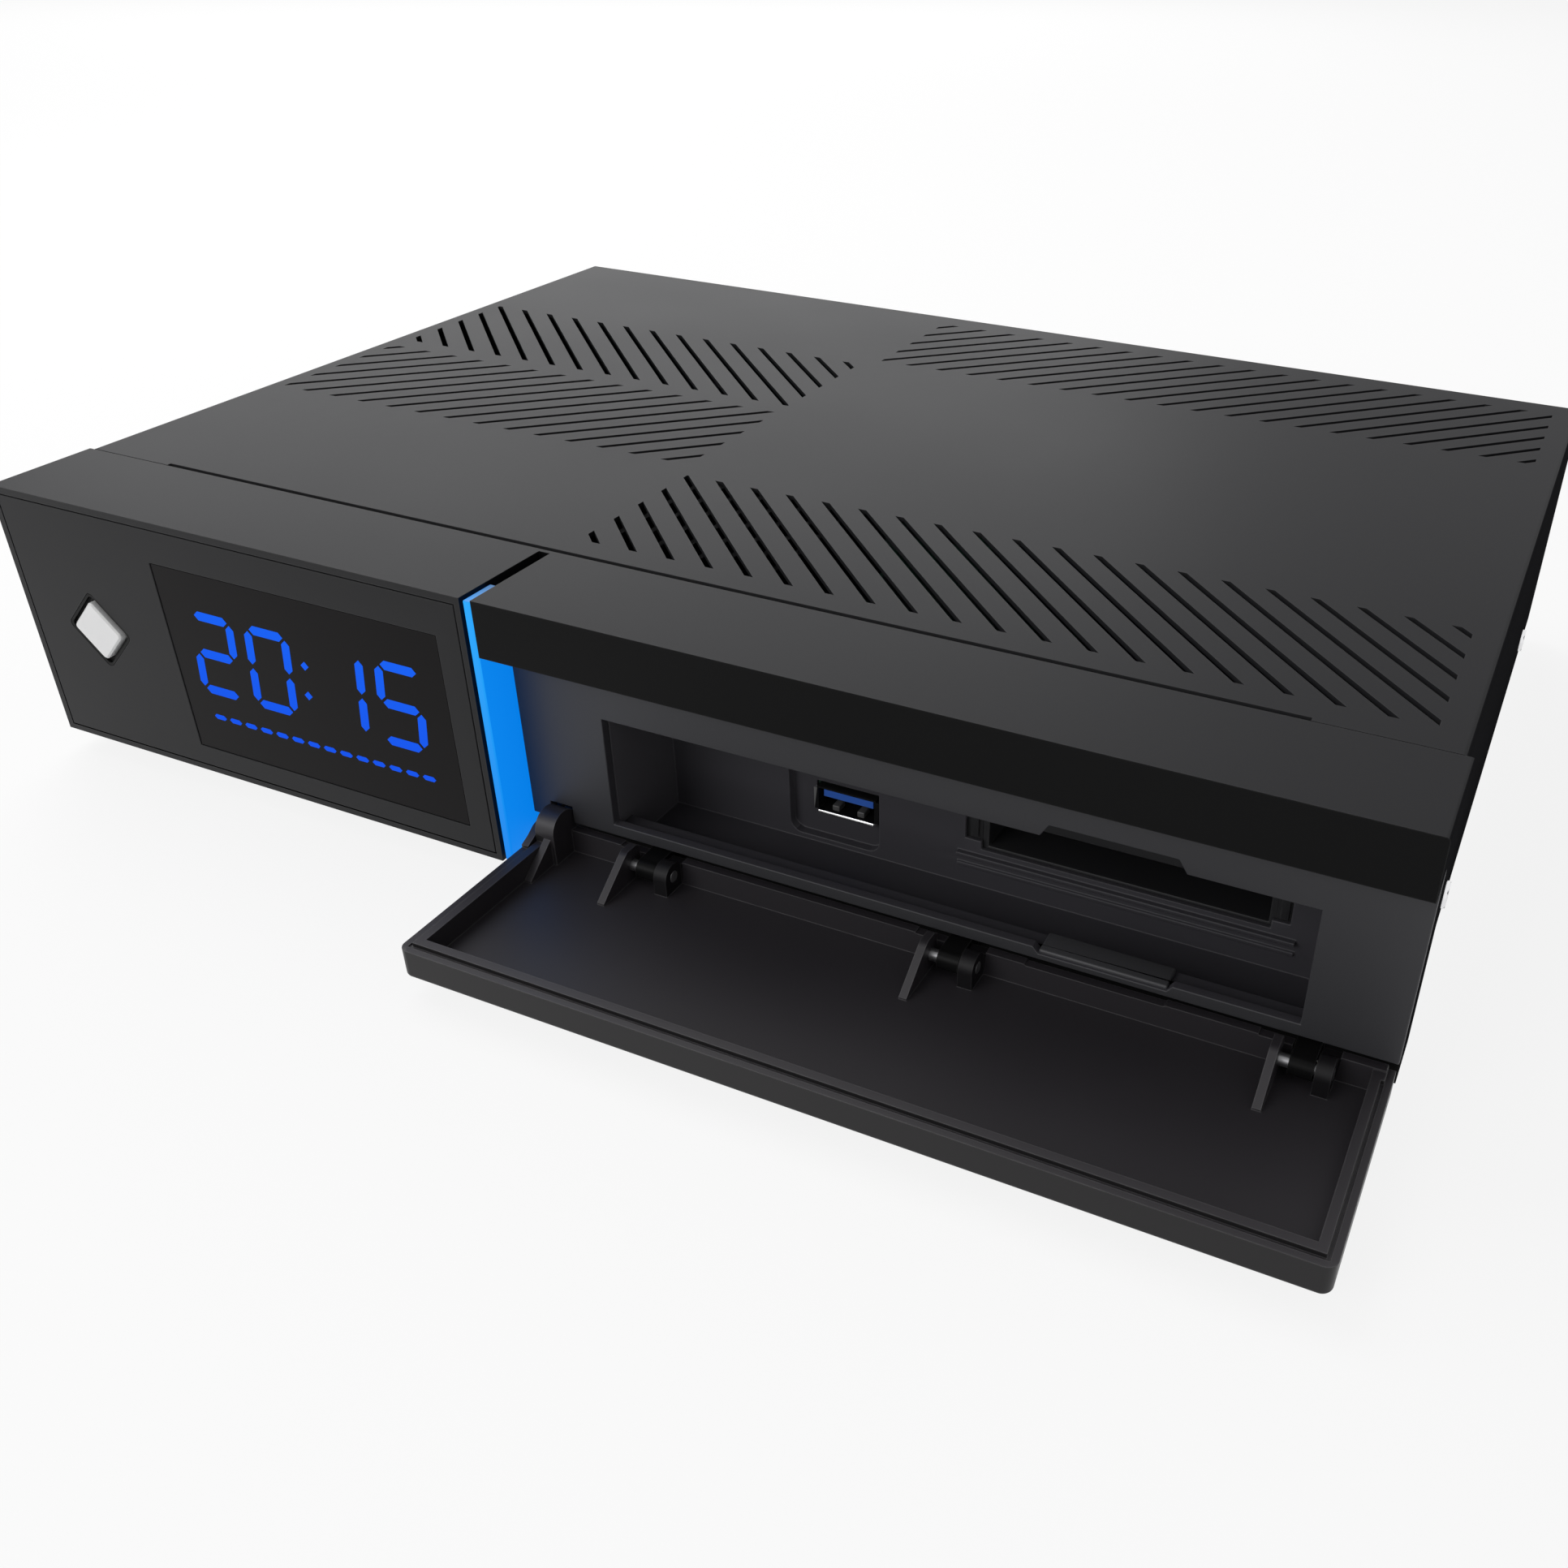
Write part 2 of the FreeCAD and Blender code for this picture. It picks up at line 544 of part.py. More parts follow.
def door_ears():
    """Bosses to the right of the bezel's arms, and a cheek on the left end of the rim."""
    foot = DOOR_SKIN - 0.2
    ears = []
    for x in knuckles():
        x0 = x + KNUCKLE_WIDTH + GAP
        x1 = x0 + EAR_THICK
        ears.append(rod_x(EAR_R, x0, x1, HINGE_Y, HINGE_Z))
        ears.append(box(x0, x1, foot, HINGE_Y, HINGE_Z - EAR_R, HINGE_Z + EAR_R))
        ears.append(box(x0, x1, foot, HEEL_LOW, DOOR_Z[0] + 0.5, HINGE_Z))
    cheek = [(5.0, 0.6), (7.4, 0.9), (9.1, 2.8), (9.5, 4.7), (9.0, 6.4), (7.8, 8.2), (6.8, 10.4), (5.0, 10.4)]
    ears.append(prism_yz(cheek, DOOR_X[0], DOOR_X[0] + RIB_THICK))
    return ears


def door_lug():
    tip = rod_x(LUG_R, *LUG_X, 8.6, 3.9)
    root = box(*LUG_X, DOOR_SKIN - 0.2, 8.6, DOOR_Z[0], 7.9)
    return fuse(tip, root).common(box(*LUG_X, 0, 20, DOOR_Z[0], 20))


def door_panel():
    door = fuse(door_tray(), *door_ribs(), *door_ears(), door_lug())
    ways = []
    for x in knuckles():
        ways.append(box(x - GAP, x + KNUCKLE_WIDTH + GAP, 2.75, DOOR_HEEL + 1, -1, 2.6))
        ways.append(rod_x(PIN_R + RUNNING_FIT, *pin_span(x), HINGE_Y, HINGE_Z))
    return opened(cut(door, *ways))


def pin_span(x):
    """Ends of the pin that starts at the outer face of a hinge rib and ends at its boss."""
    return x - KNUCKLE_STEP - RIB_THICK / 2, x + KNUCKLE_WIDTH + GAP + EAR_THICK


def opened(shape):
    copy = shape.copy()
    copy.rotate(Vector(0, HINGE_Y, HINGE_Z), Vector(1, 0, 0), OPEN_ANGLE)
    return copy


def hinge_pins():
    return [rod_x(PIN_R, *pin_span(x), HINGE_Y, HINGE_Z) for x in knuckles()]


# Sockets behind the flap

def usb_shell(x, z, mouth, back):
    """A folded steel shell, open at the mouth and closed at the back, whichever way it faces."""
    inward = 1 if back > mouth else -1
    half, high = USB_SHELL[0] / 2, USB_SHELL[1]
    outer = box(x - half, x + half, min(mouth, back), max(mouth, back), z, z + high)
    ends = sorted((mouth - inward, back - inward))
    half -= USB_SHEET
    return cut(outer, box(x - half, x + half, *ends, z + USB_SHEET, z + high - USB_SHEET))


def usb_front_shell():
    """The front shell, with its sides folded outwards at the mouth."""
    mouth = LINER_BACK + 0.4
    shell = usb_shell(USB_X, USB_LIP, mouth, LINER_BACK + 16)
    half = USB_SHELL[0] / 2 - USB_SHEET
    z0, z1 = USB_LIP + 0.4, USB_LIP + USB_SHELL[1] - 0.4
    left = box(USB_X - USB_FLARE, USB_X - half, mouth, mouth + 0.9, z0, z1)
    right = box(USB_X + half, USB_X + USB_FLARE, mouth, mouth + 0.9, z0, z1)
    return fuse(shell, left, right)


def usb_tongue(x, z, y0, y1):
    return box(x - 5.6, x + 5.6, y0, y1, z + 3.1, z + 5.1)


def card_cage():
    x0, x1 = CI_X
    y0 = LINER_BACK + LINER_WALL + 0.1
    y1 = y0 + CI_DEPTH
    inner = y1 - CI_WALL
    block = box(x0 - CI_WALL, x1 + CI_WALL, y0, y1, BOARD_TOP + 0.8, CI_SLOT_Z[1] + CI_WALL)
    slots = [box(x0, x1, y0 - 1, inner, z, z + CI_SLOT_HIGH) for z in card_slot_z()]
    pegs = []
    for x in (x0 + 1, x1 - 1):
        pegs += [box(x - 1.2, x + 1.2, y - 1.2, y + 1.2, BOARD_TOP, BOARD_TOP + 1) for y in (y0 + 8, y1 - 8)]
    return fuse(cut(block, *slots), *pegs)


def card_slot_z():
    return [CI_SLOT_Z[0] + 0.5, CI_SLOT_Z[0] + 10.3]


def card_contacts():
    y1 = LINER_BACK + LINER_WALL + 0.1 + CI_DEPTH - CI_WALL
    return [box(CI_X[0] + 3.5, CI_X[1] - 3.5, y1 - 6, y1, z + 1.4, z + 5.0) for z in card_slot_z()]


# Main board and rear sockets

def f_places():
    return [x + side * F_PITCH / 2 for x in TUNER_X for side in (-1, 1)]


def main_board():
    board = box(BOARD_X[0], BOARD_X[1], BOARD_Y[0], BOARD_Y[1], BOARD_Z, BOARD_TOP)
    holes = [prism_xy(ring(6, 1.9, x, y), BOARD_Z - 1, BOARD_TOP + 1) for x, y in stand_places()]
    return cut(board, *holes)


def stand_places():
    return [(x, y) for x in (20.0, 152.0, 284.0) for y in (52.0, 186.0)]


def board_stands():
    return [prism_xy(ring(6, 3.2, x, y), PAN_Z + SHEET, BOARD_Z) for x, y in stand_places()]


def board_screws():
    screws = []
    for x, y in stand_places():
        head = prism_xy(ring(SCREW_SIDES, 2.8, x, y), BOARD_TOP, BOARD_TOP + 1.8)
        shank = prism_xy(ring(6, 1.4, x, y), BOARD_Z, BOARD_TOP + 0.1)
        screws.append(fuse(head, shank))
    return screws


def board_chips():
    chips = [
        (96, 96, 30, 30, 2.2), (140, 96, 12, 9, 1.2), (140, 112, 12, 9, 1.2), (60, 100, 16, 14, 1.4),
        (60, 140, 14, 20, 1.4), (110, 150, 10, 10, 1.2), (40, 160, 20, 20, 8.0), (132, 168, 18, 12, 1.6),
    ]
    return [box(x, x + a, y, y + b, BOARD_TOP, BOARD_TOP + h) for x, y, a, b, h in chips]


def heatsink():
    start, end = 82.0, 140.0
    base = BOARD_TOP + 2.3
    plate = box(start, end, start, end, base, base + 3)
    fins = []
    for i in range(10):
        x = start + 6.25 * i
        fins.append(box(x, x + 1.6, start, end, base + 2.9, base + 22))
    return fuse(plate, *fins)


def tuner_module(x):
    half = TUNER_WIDTH / 2
    can = box(x - half, x + half, REAR_Y - 62, REAR_Y - 0.2, BOARD_TOP + 0.3, BOARD_TOP + 18)
    lid = box(x - half - 0.5, x + half + 0.5, REAR_Y - 60, REAR_Y - 4, BOARD_TOP + 14, BOARD_TOP + 18.5)
    pins = box(x - 18, x + 18, REAR_Y - 61, REAR_Y - 58, BOARD_TOP, BOARD_TOP + 0.5)
    return fuse(can, lid, pins)


def f_connector(x):
    barrel = prism_xz(ring(ROUND_SIDES, F_R, x, F_Z), REAR_Y - 0.2, BACK_REACH)
    nut = prism_xz(ring(6, NUT_R, x, F_Z), REAR_Y + SHEET, REAR_Y + SHEET + NUT_THICK)
    bore = prism_xz(ring(ROUND_SIDES, F_BORE_R, x, F_Z), BACK_REACH - F_BORE_DEEP, BACK_REACH + 1)
    return cut(fuse(barrel, nut), bore)


def f_insulator(x):
    return prism_xz(ring(ROUND_SIDES, F_BORE_R, x, F_Z), BACK_REACH - F_BORE_DEEP, BACK_REACH - 0.8)


def lan_socket():
    x, z = LAN_X, BOARD_TOP
    case = box(x - 8.0, x + 8.0, REAR_Y - 13, REAR_Y + 1.4, z, z + 13.4)
    mouth = box(x - 5.9, x + 5.9, REAR_Y - 10, REAR_Y + 2, z + 2.4, z + 9.8)
    key = box(x - 3.0, x + 3.0, REAR_Y - 6, REAR_Y + 2, z + 9.7, z + 12.2)
    return cut(case, mouth, key)


def usb_rear_z():
    return [BOARD_TOP + 1.0, BOARD_TOP + 9.0]


def hdmi_socket(x):
    z = BOARD_TOP
    case = box(x - 7.5, x + 7.5, REAR_Y - 10, REAR_Y + 1.4, z, z + 6.2)
    mouth = prism_xz([
        (x - 6.95, z + 2.4), (x - 6.95, z + 5.4), (x + 6.95, z + 5.4),
        (x + 6.95, z + 2.4), (x + 5.1, z + 0.8), (x - 5.1, z + 0.8),
    ], REAR_Y - 8, REAR_Y + 2)
    tongue = box(x - 5.6, x + 5.6, REAR_Y - 9, REAR_Y - 0.4, z + 2.9, z + 3.9)
    return fuse(cut(case, mouth), tongue)


def optical_socket():
    x, z = OPTICAL_X, BOARD_TOP
    case = box(x - 4.9, x + 4.9, REAR_Y - 12, REAR_Y + 1.4, z, z + 10.0)
    return cut(case, box(x - 3.0, x + 3.0, REAR_Y - 8, REAR_Y + 2, z + 2.0, z + 8.0))


def power_jack():
    x, z = JACK_X, BOARD_TOP + 6.0
    body = box(x - 4.5, x + 4.5, REAR_Y - 14, REAR_Y - 0.2, BOARD_TOP, BOARD_TOP + 11)
    collar = prism_xz(ring(ROUND_SIDES, 5.0, x, z), REAR_Y - 0.3, REAR_Y + 1.8)
    bore = prism_xz(ring(SCREW_SIDES, 3.2, x, z), REAR_Y - 10, REAR_Y + 3)
    pin = prism_xz(ring(SCREW_SIDES, 1.05, x, z), REAR_Y - 11, REAR_Y + 0.4)
    return fuse(cut(fuse(body, collar), bore), pin)


def switch_frame():
    x, z = SWITCH_X, SWITCH_Z
    frame = box(x - 7.5, x + 7.5, REAR_Y + SHEET, REAR_Y + SHEET + 1.6, z - 10.5, z + 10.5)
    tub = box(x - 6.5, x + 6.5, REAR_Y - 12, REAR_Y + SHEET + 0.1, z - 9.5, z + 9.5)
    way = box(x - 4.9, x + 4.9, REAR_Y - 8, REAR_Y + 4, z - 8.0, z + 8.0)
    return cut(fuse(frame, tub), way)


def switch_rocker():
    x, z = SWITCH_X, SWITCH_Z
    y = REAR_Y - 1.0
    face = [(y - 3.0, z - 5.0), (y + 3.6, z - 7.2), (y + 2.6, z), (y + 3.6, z + 7.2), (y - 3.0, z + 5.0)]
    rocker = prism_yz(face, x - 4.6, x + 4.6)
    copy = rocker.copy()
    copy.rotate(Vector(x, y, z), Vector(1, 0, 0), -8)
    return copy


# Fasteners

def lid_screws():
    left, right = LID_X
    screws = []
    for y in LID_SCREW_Y:
        head = ring(SCREW_SIDES, 2.8, y, LID_SCREW_Z)
        shank = ring(SCREW_SIDES, 1.2, y, LID_SCREW_Z)
        screws.append(fuse(prism_yz(head, left - 0.8, left), prism_yz(shank, left - 0.1, left + 5)))
        screws.append(fuse(prism_yz(head, right, right + 0.8), prism_yz(shank, right - 5, right + 0.1)))
    return screws


def rear_screws():
    y = REAR_Y + SHEET
    places = ((10, 52), (150, 52), (290, 52), (10, 8), (290, 8))
    return [prism_xz(ring(SCREW_SIDES, 2.7, x, z), y, y + 1.3) for x, z in places]


def foot_screws():
    low = -FOOT_HEIGHT + 1.0
    return [prism_xy(ring(SCREW_SIDES, 2.9, x, y), low, low + 1.4) for x, y in feet_places()]


def build():
    os.makedirs("parts", exist_ok=True)
    save("top_cover", top_cover())
    save("base_pan", base_pan())
    save("rubber_feet", *rubber_feet())
    save("rear_panel", rear_panel())
    save("front_bezel", front_bezel())
    save("recess_panel", recess_panel())
    save("recess_liner", recess_liner())
    save("face_plate", face_plate())
    save("display_window", display_window())
    save("display_module", display_module())
    save("button_surround", button_surround())
    save("power_button", power_button())
    save("key_switch", key_switch())
    save("front_board", front_board())
    save("light_guide", light_guide())
    save("light_board", light_board())
    save("door_panel", door_panel())
    save("hinge_pins", *hinge_pins())
    save("usb_front_shell", usb_front_shell())
    save("usb_front_tongue", usb_tongue(USB_X, USB_LIP, LINER_BACK + 1.4, LINER_BACK + 15))
    save("card_cage", card_cage())
    save("card_contacts", *card_contacts())
    save("main_board", main_board())
    save("board_stands", *board_stands())
    save("board_screws", *board_screws())
    save("board_chips", *board_chips())
    save("heatsink", heatsink())
    save("tuner_left", tuner_module(TUNER_X[0]))
    save("tuner_right", tuner_module(TUNER_X[1]))
    save("f_connectors", *[f_connector(x) for x in f_places()])
    save("f_insulators", *[f_insulator(x) for x in f_places()])
    save("lan_socket", lan_socket())
    rear_z = usb_rear_z()
    save("usb_rear_shells", *[usb_shell(USB_REAR_X, z, REAR_Y + 1.4, REAR_Y - 13) for z in rear_z])
    save("usb_rear_tongues", *[usb_tongue(USB_REAR_X, z, REAR_Y - 12, REAR_Y + 0.4) for z in rear_z])
    save("hdmi_sockets", *[hdmi_socket(x) for x in HDMI_X])
    save("optical_socket", optical_socket())
    save("power_jack", power_jack())
    save("switch_frame", switch_frame())
    save("switch_rocker", switch_rocker())
    save("lid_screws", *lid_screws())
    save("rear_screws", *rear_screws())
    save("foot_screws", *foot_screws())


build()
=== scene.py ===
import math

import bmesh
import bpy
from mathutils import Matrix, Vector


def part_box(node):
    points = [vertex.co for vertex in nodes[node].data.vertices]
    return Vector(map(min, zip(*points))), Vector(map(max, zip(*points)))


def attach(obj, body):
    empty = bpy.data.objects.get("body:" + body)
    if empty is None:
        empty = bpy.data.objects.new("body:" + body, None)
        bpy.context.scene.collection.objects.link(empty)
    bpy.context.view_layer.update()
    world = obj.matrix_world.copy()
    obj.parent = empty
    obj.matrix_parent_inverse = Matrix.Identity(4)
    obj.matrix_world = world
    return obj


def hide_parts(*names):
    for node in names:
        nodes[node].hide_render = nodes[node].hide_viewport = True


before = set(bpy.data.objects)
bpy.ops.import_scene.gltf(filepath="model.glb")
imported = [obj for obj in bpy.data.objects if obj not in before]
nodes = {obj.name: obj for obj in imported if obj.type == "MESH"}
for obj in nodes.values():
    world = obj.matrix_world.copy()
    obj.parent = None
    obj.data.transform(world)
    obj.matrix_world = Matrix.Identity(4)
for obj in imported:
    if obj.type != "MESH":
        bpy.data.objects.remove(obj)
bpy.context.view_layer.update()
scene = bpy.context.scene
scene.view_settings.view_transform = "Standard"

# Camera and studio. The receiver stands on a plain pale floor, seen from above its right front
# corner, close enough for strong perspective, under three broad soft lamps: behind, above, in front.
CAMERA_PLACE = (0.15617, -0.28656, 0.18466)
CAMERA_TURN = (56.965, -1.237, 24.185)
CAMERA_LENS = 34.842
CAMERA_SHIFT = (-0.10867, 0.01366)
FLOOR_SIZE = 6.0
FLOOR_WHITE = (0.86, 0.86, 0.86, 1.0)
FLOOR_GLOW = 0.86
FLOOR_ROUGH = 0.9
FLOOR_SHEEN = 0.1
ROOM_LIGHT = 0.30

camera_data = bpy.data.cameras.new("camera")
camera_data.sensor_fit = "HORIZONTAL"
camera_data.sensor_width = 36.0
camera_data.lens = CAMERA_LENS
camera_data.shift_x, camera_data.shift_y = CAMERA_SHIFT
camera_data.clip_start = 0.01
camera = bpy.data.objects.new("camera", camera_data)
camera.location = CAMERA_PLACE
camera.rotation_euler = [math.radians(turn) for turn in CAMERA_TURN]
scene.collection.objects.link(camera)
scene.camera = camera


def wire(tree, start, start_socket, end, end_socket):
    """A link from one node's output to another node's input, by name or number."""
    tree.links.new(start.outputs[start_socket], end.inputs[end_socket])


def plain_white_to_camera(tree, out, lit, white, share):
    """The lit shader for the object's light, and a share of white where a camera or reflection looks."""
    path = tree.nodes.new("ShaderNodeLightPath")
    either = tree.nodes.new("ShaderNodeMath")
    either.operation = "MAXIMUM"
    both = tree.nodes.new("ShaderNodeMath")
    both.operation = "MAXIMUM"
    part = tree.nodes.new("ShaderNodeMath")
    part.operation = "MULTIPLY"
    part.inputs[1].default_value = share
    mix = tree.nodes.new("ShaderNodeMixShader")
    wire(tree, path, "Is Camera Ray", either, 0)
    wire(tree, path, "Is Glossy Ray", either, 1)
    wire(tree, either, 0, both, 0)
    wire(tree, path, "Is Transmission Ray", both, 1)
    wire(tree, both, 0, part, 0)
    wire(tree, part, 0, mix, 0)
    wire(tree, lit, 0, mix, 1)
    wire(tree, white, 0, mix, 2)
    wire(tree, mix, 0, out, "Surface")


world = bpy.data.worlds.new("studio")
world.use_nodes = True
scene.world = world
sky = world.node_tree
sky.nodes.clear()
room = sky.nodes.new("ShaderNodeBackground")
room.inputs["Color"].default_value = (1, 1, 1, 1)
room.inputs["Strength"].default_value = ROOM_LIGHT
backdrop = sky.nodes.new("ShaderNodeBackground")
backdrop.inputs["Color"].default_value = (1, 1, 1, 1)
sky_out = sky.nodes.new("ShaderNodeOutputWorld")
plain_white_to_camera(sky, sky_out, room, backdrop, 1.0)

mesh = bmesh.new()
bmesh.ops.create_grid(mesh, x_segments=1, y_segments=1, size=FLOOR_SIZE / 2)
floor_mesh = bpy.data.meshes.new("floor")
mesh.to_mesh(floor_mesh)
mesh.free()
floor = bpy.data.objects.new("floor", floor_mesh)
scene.collection.objects.link(floor)
floor_finish = bpy.data.materials.new("pale_floor")
floor_finish.use_nodes = True
floor_shader = floor_finish.node_tree.nodes["Principled BSDF"]
floor_shader.inputs["Base Color"].default_value = FLOOR_WHITE
floor_shader.inputs["Roughness"].default_value = FLOOR_ROUGH
floor_shader.inputs["Specular IOR Level"].default_value = FLOOR_SHEEN
floor_tree = floor_finish.node_tree
floor_white = floor_tree.nodes.new("ShaderNodeEmission")
floor_out = floor_tree.nodes["Material Output"]
plain_white_to_camera(floor_tree, floor_out, floor_shader, floor_white, FLOOR_GLOW)
floor_mesh.materials.append(floor_finish)


def studio_lamp(name, place, aim, size, power):
    """A soft rectangular lamp that looks from its place at its aim."""
    lamp_data = bpy.data.lights.new(name, "AREA")
    lamp_data.shape = "RECTANGLE"
    lamp_data.size, lamp_data.size_y = size
    lamp_data.energy = power
    lamp = bpy.data.objects.new(name, lamp_data)
    lamp.location = place
    lamp.rotation_euler = (Vector(aim) - Vector(place)).to_track_quat("-Z", "Y").to_euler()
    scene.collection.objects.link(lamp)


studio_lamp("lamp_back_left", place=(-0.98, 1.26, 0.72), aim=(0, 0, 0.03), size=(1.5, 0.9), power=12.0)
studio_lamp("lamp_above", place=(-0.5, 0.2, 0.8), aim=(-0.08, 0.05, 0.03), size=(0.7, 0.7), power=4.6)
studio_lamp("lamp_front_left", place=(-0.7, -1.5, 0.9), aim=(0, 0, 0.03), size=(1.2, 0.8), power=9.0)


# Slotted lid. Folded 1 mm steel sheet with laser-cut slots, powder coated dark grey; it drops
# over the chassis and two screws a side hold it. The coat rounds every cut edge a little.
LID_GREY = (0.032, 0.032, 0.034)
COAT_ROUND = 0.00025
COAT_ROUGH = 0.42
COAT_SHEEN = 0.02
SIDE_SHADE_GREY = (0.022, 0.022, 0.024)
MERGE_GAP = 2e-6
FLAT_ANGLE = math.radians(1)
EDGE_ANGLE = math.radians(35)


def rounded_copy(node, body, width, name, segments=2):
    """A merged copy of a construction piece with softly rounded edges, standing for that piece."""
    shape = bmesh.new()
    shape.from_mesh(nodes[node].data)
    bmesh.ops.remove_doubles(shape, verts=shape.verts, dist=MERGE_GAP)
    bmesh.ops.dissolve_limit(shape, angle_limit=FLAT_ANGLE, verts=shape.verts, edges=shape.edges)
    inner = [edge for edge in shape.edges if len(edge.link_faces) == 2]
    sharp = [edge for edge in inner if edge.calc_face_angle(0) > EDGE_ANGLE]
    bmesh.ops.bevel(shape, geom=sharp, offset=width, offset_type="OFFSET", affect="EDGES", segments=segments,
                    profile=0.5, material=-1, clamp_overlap=True, loop_slide=True)
    bmesh.ops.triangulate(shape, faces=[f for f in shape.faces if len(f.verts) > 4])
    for face in shape.faces:
        face.smooth = True
    copy = bpy.data.meshes.new(name)
    shape.to_mesh(copy)
    shape.free()
    piece = bpy.data.objects.new(name, copy)
    scene.collection.objects.link(piece)
    weighted = piece.modifiers.new("weighted_normals", "WEIGHTED_NORMAL")
    weighted.mode = "FACE_AREA"
    weighted.weight = 100
    weighted.keep_sharp = False
    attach(piece, body)
    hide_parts(node)
    return piece


GRAIN_DEPTH = 0.00004
GRAIN_DETAIL = 3.0
CLOUD_DETAIL = 5.0


def grain_group():
    """Fine moulded or sprayed grain: a normal, and a mask of where the surface is a little duller."""
    group = bpy.data.node_groups.new("surface_grain", "ShaderNodeTree")
    face = group.interface
    for name, value in (("Grain per metre", 2500.0), ("Depth", 0.2), ("Cloud per metre", 18.0)):
        face.new_socket(name, in_out="INPUT", socket_type="NodeSocketFloat").default_value = value
    face.new_socket("Normal", in_out="OUTPUT", socket_type="NodeSocketVector")
    face.new_socket("Cloud", in_out="OUTPUT", socket_type="NodeSocketFloat")
    ins, outs = group.nodes.new("NodeGroupInput"), group.nodes.new("NodeGroupOutput")
    place = group.nodes.new("ShaderNodeTexCoord")
    grain, cloud = group.nodes.new("ShaderNodeTexNoise"), group.nodes.new("ShaderNodeTexNoise")
    grain.inputs["Detail"].default_value = GRAIN_DETAIL
    cloud.inputs["Detail"].default_value = CLOUD_DETAIL
    bump = group.nodes.new("ShaderNodeBump")
    bump.inputs["Distance"].default_value = GRAIN_DEPTH
    wire(group, place, "Object", grain, "Vector")
    wire(group, place, "Object", cloud, "Vector")
    wire(group, ins, "Grain per metre", grain, "Scale")
    wire(group, ins, "Cloud per metre", cloud, "Scale")
    wire(group, ins, "Depth", bump, "Strength")
    wire(group, grain, "Fac", bump, "Height")
    wire(group, bump, "Normal", outs, "Normal")
    wire(group, cloud, "Fac", outs, "Cloud")
    return group


# Paler edges, partly rubbed wear and partly painted highlight, start and are full at these cosines between a
# face and the softened form round it.
PALE_EDGE_START = 0.98
PALE_EDGE_FULL = 0.8
PALE_EDGE_DETAIL = 4.0


def pale_edge_group():
    """Where the surface turns: a mask of paler edges, partly rubbed wear and partly painted highlight, broken
    up by noise.
    """
    group = bpy.data.node_groups.new("rubbed_and_highlit_edges", "ShaderNodeTree")
    face = group.interface
    for name, value in (("Radius", 0.0004), ("Break per metre", 300.0)):
        face.new_socket(name, in_out="INPUT", socket_type="NodeSocketFloat").default_value = value
    face.new_socket("Mask", in_out="OUTPUT", socket_type="NodeSocketFloat")
    ins, outs = group.nodes.new("NodeGroupInput"), group.nodes.new("NodeGroupOutput")
    soft = group.nodes.new("ShaderNodeBevel")
    soft.samples = 4
    true_normal = group.nodes.new("ShaderNodeNewGeometry")
    agree = group.nodes.new("ShaderNodeVectorMath")
    agree.operation = "DOT_PRODUCT"
    turn = group.nodes.new("ShaderNodeMapRange")
    turn.inputs["From Min"].default_value = PALE_EDGE_START
    turn.inputs["From Max"].default_value = PALE_EDGE_FULL
    place = group.nodes.new("ShaderNodeTexCoord")
    patch = group.nodes.new("ShaderNodeTexNoise")
    patch.inputs["Detail"].default_value = PALE_EDGE_DETAIL
    broken = group.nodes.new("ShaderNodeMath")
    broken.operation = "MULTIPLY"
    wire(group, ins, "Radius", soft, "Radius")
    wire(group, soft, "Normal", agree, 0)
    wire(group, true_normal, "Normal", agree, 1)
    wire(group, agree, "Value", turn, "Value")
    wire(group, place, "Object", patch, "Vector")
    wire(group, ins, "Break per metre", patch, "Scale")
    wire(group, turn, "Result", broken, 0)
    wire(group, patch, "Fac", broken, 1)
    wire(group, broken, "Value", outs, "Mask")
    return group


GRAIN = grain_group()
EDGES = pale_edge_group()
TINT_DARK = 0.94
TINT_LIGHT = 1.06
PALE_EDGE_TO = 0.5


def finish(name, colour, roughness, grain=2500.0, depth=0.15, cloud=18.0, uneven=0.06, pale_edges=0.25,
           specular=0.5, metallic=0.0):
    """A finish with grain, cloudy gloss and paler edges round one base colour; the paler edges are partly
    rubbed wear and partly painted highlight.
    """
    material = bpy.data.materials.new(name)
    material.use_nodes = True
    tree = material.node_tree
    shader = tree.nodes["Principled BSDF"]
    shader.inputs["Specular IOR Level"].default_value = specular
    shader.inputs["Metallic"].default_value = metallic
    surface = tree.nodes.new("ShaderNodeGroup")
    surface.node_tree = GRAIN
    surface.inputs["Grain per metre"].default_value = grain
    surface.inputs["Depth"].default_value = depth
    surface.inputs["Cloud per metre"].default_value = cloud
    edges = tree.nodes.new("ShaderNodeGroup")
    edges.node_tree = EDGES
    rough = tree.nodes.new("ShaderNodeMapRange")
    rough.inputs["To Min"].default_value = max(0.02, roughness - uneven)
    rough.inputs["To Max"].default_value = min(1.0, roughness + uneven)
    tint = tree.nodes.new("ShaderNodeMix")
    tint.data_type = "RGBA"
    tint.inputs["A"].default_value = (*[c * TINT_DARK for c in colour], 1)
    tint.inputs["B"].default_value = (*[min(1.0, c * TINT_LIGHT) for c in colour], 1)
    pale = tree.nodes.new("ShaderNodeMix")
    pale.data_type = "RGBA"
    # Painted highlight and wear: the edge mask mixes the colour towards a pale grey.
    pale.inputs["B"].default_value = (*[c + max(0.0, PALE_EDGE_TO - c) * pale_edges for c in colour], 1)
    wire(tree, surface, "Cloud", rough, "Value")
    wire(tree, rough, "Result", shader, "Roughness")
    wire(tree, surface, "Cloud", tint, "Factor")
    tree.links.new(tint.outputs["Result"], pale.inputs["A"])
    wire(tree, edges, "Mask", pale, "Factor")
    tree.links.new(pale.outputs["Result"], shader.inputs["Base Color"])
    wire(tree, surface, "Normal", shader, "Normal")
    return material


def dress(piece, material):
    """One finish on the whole piece."""
    piece.data.materials.clear()
    piece.data.materials.append(material)


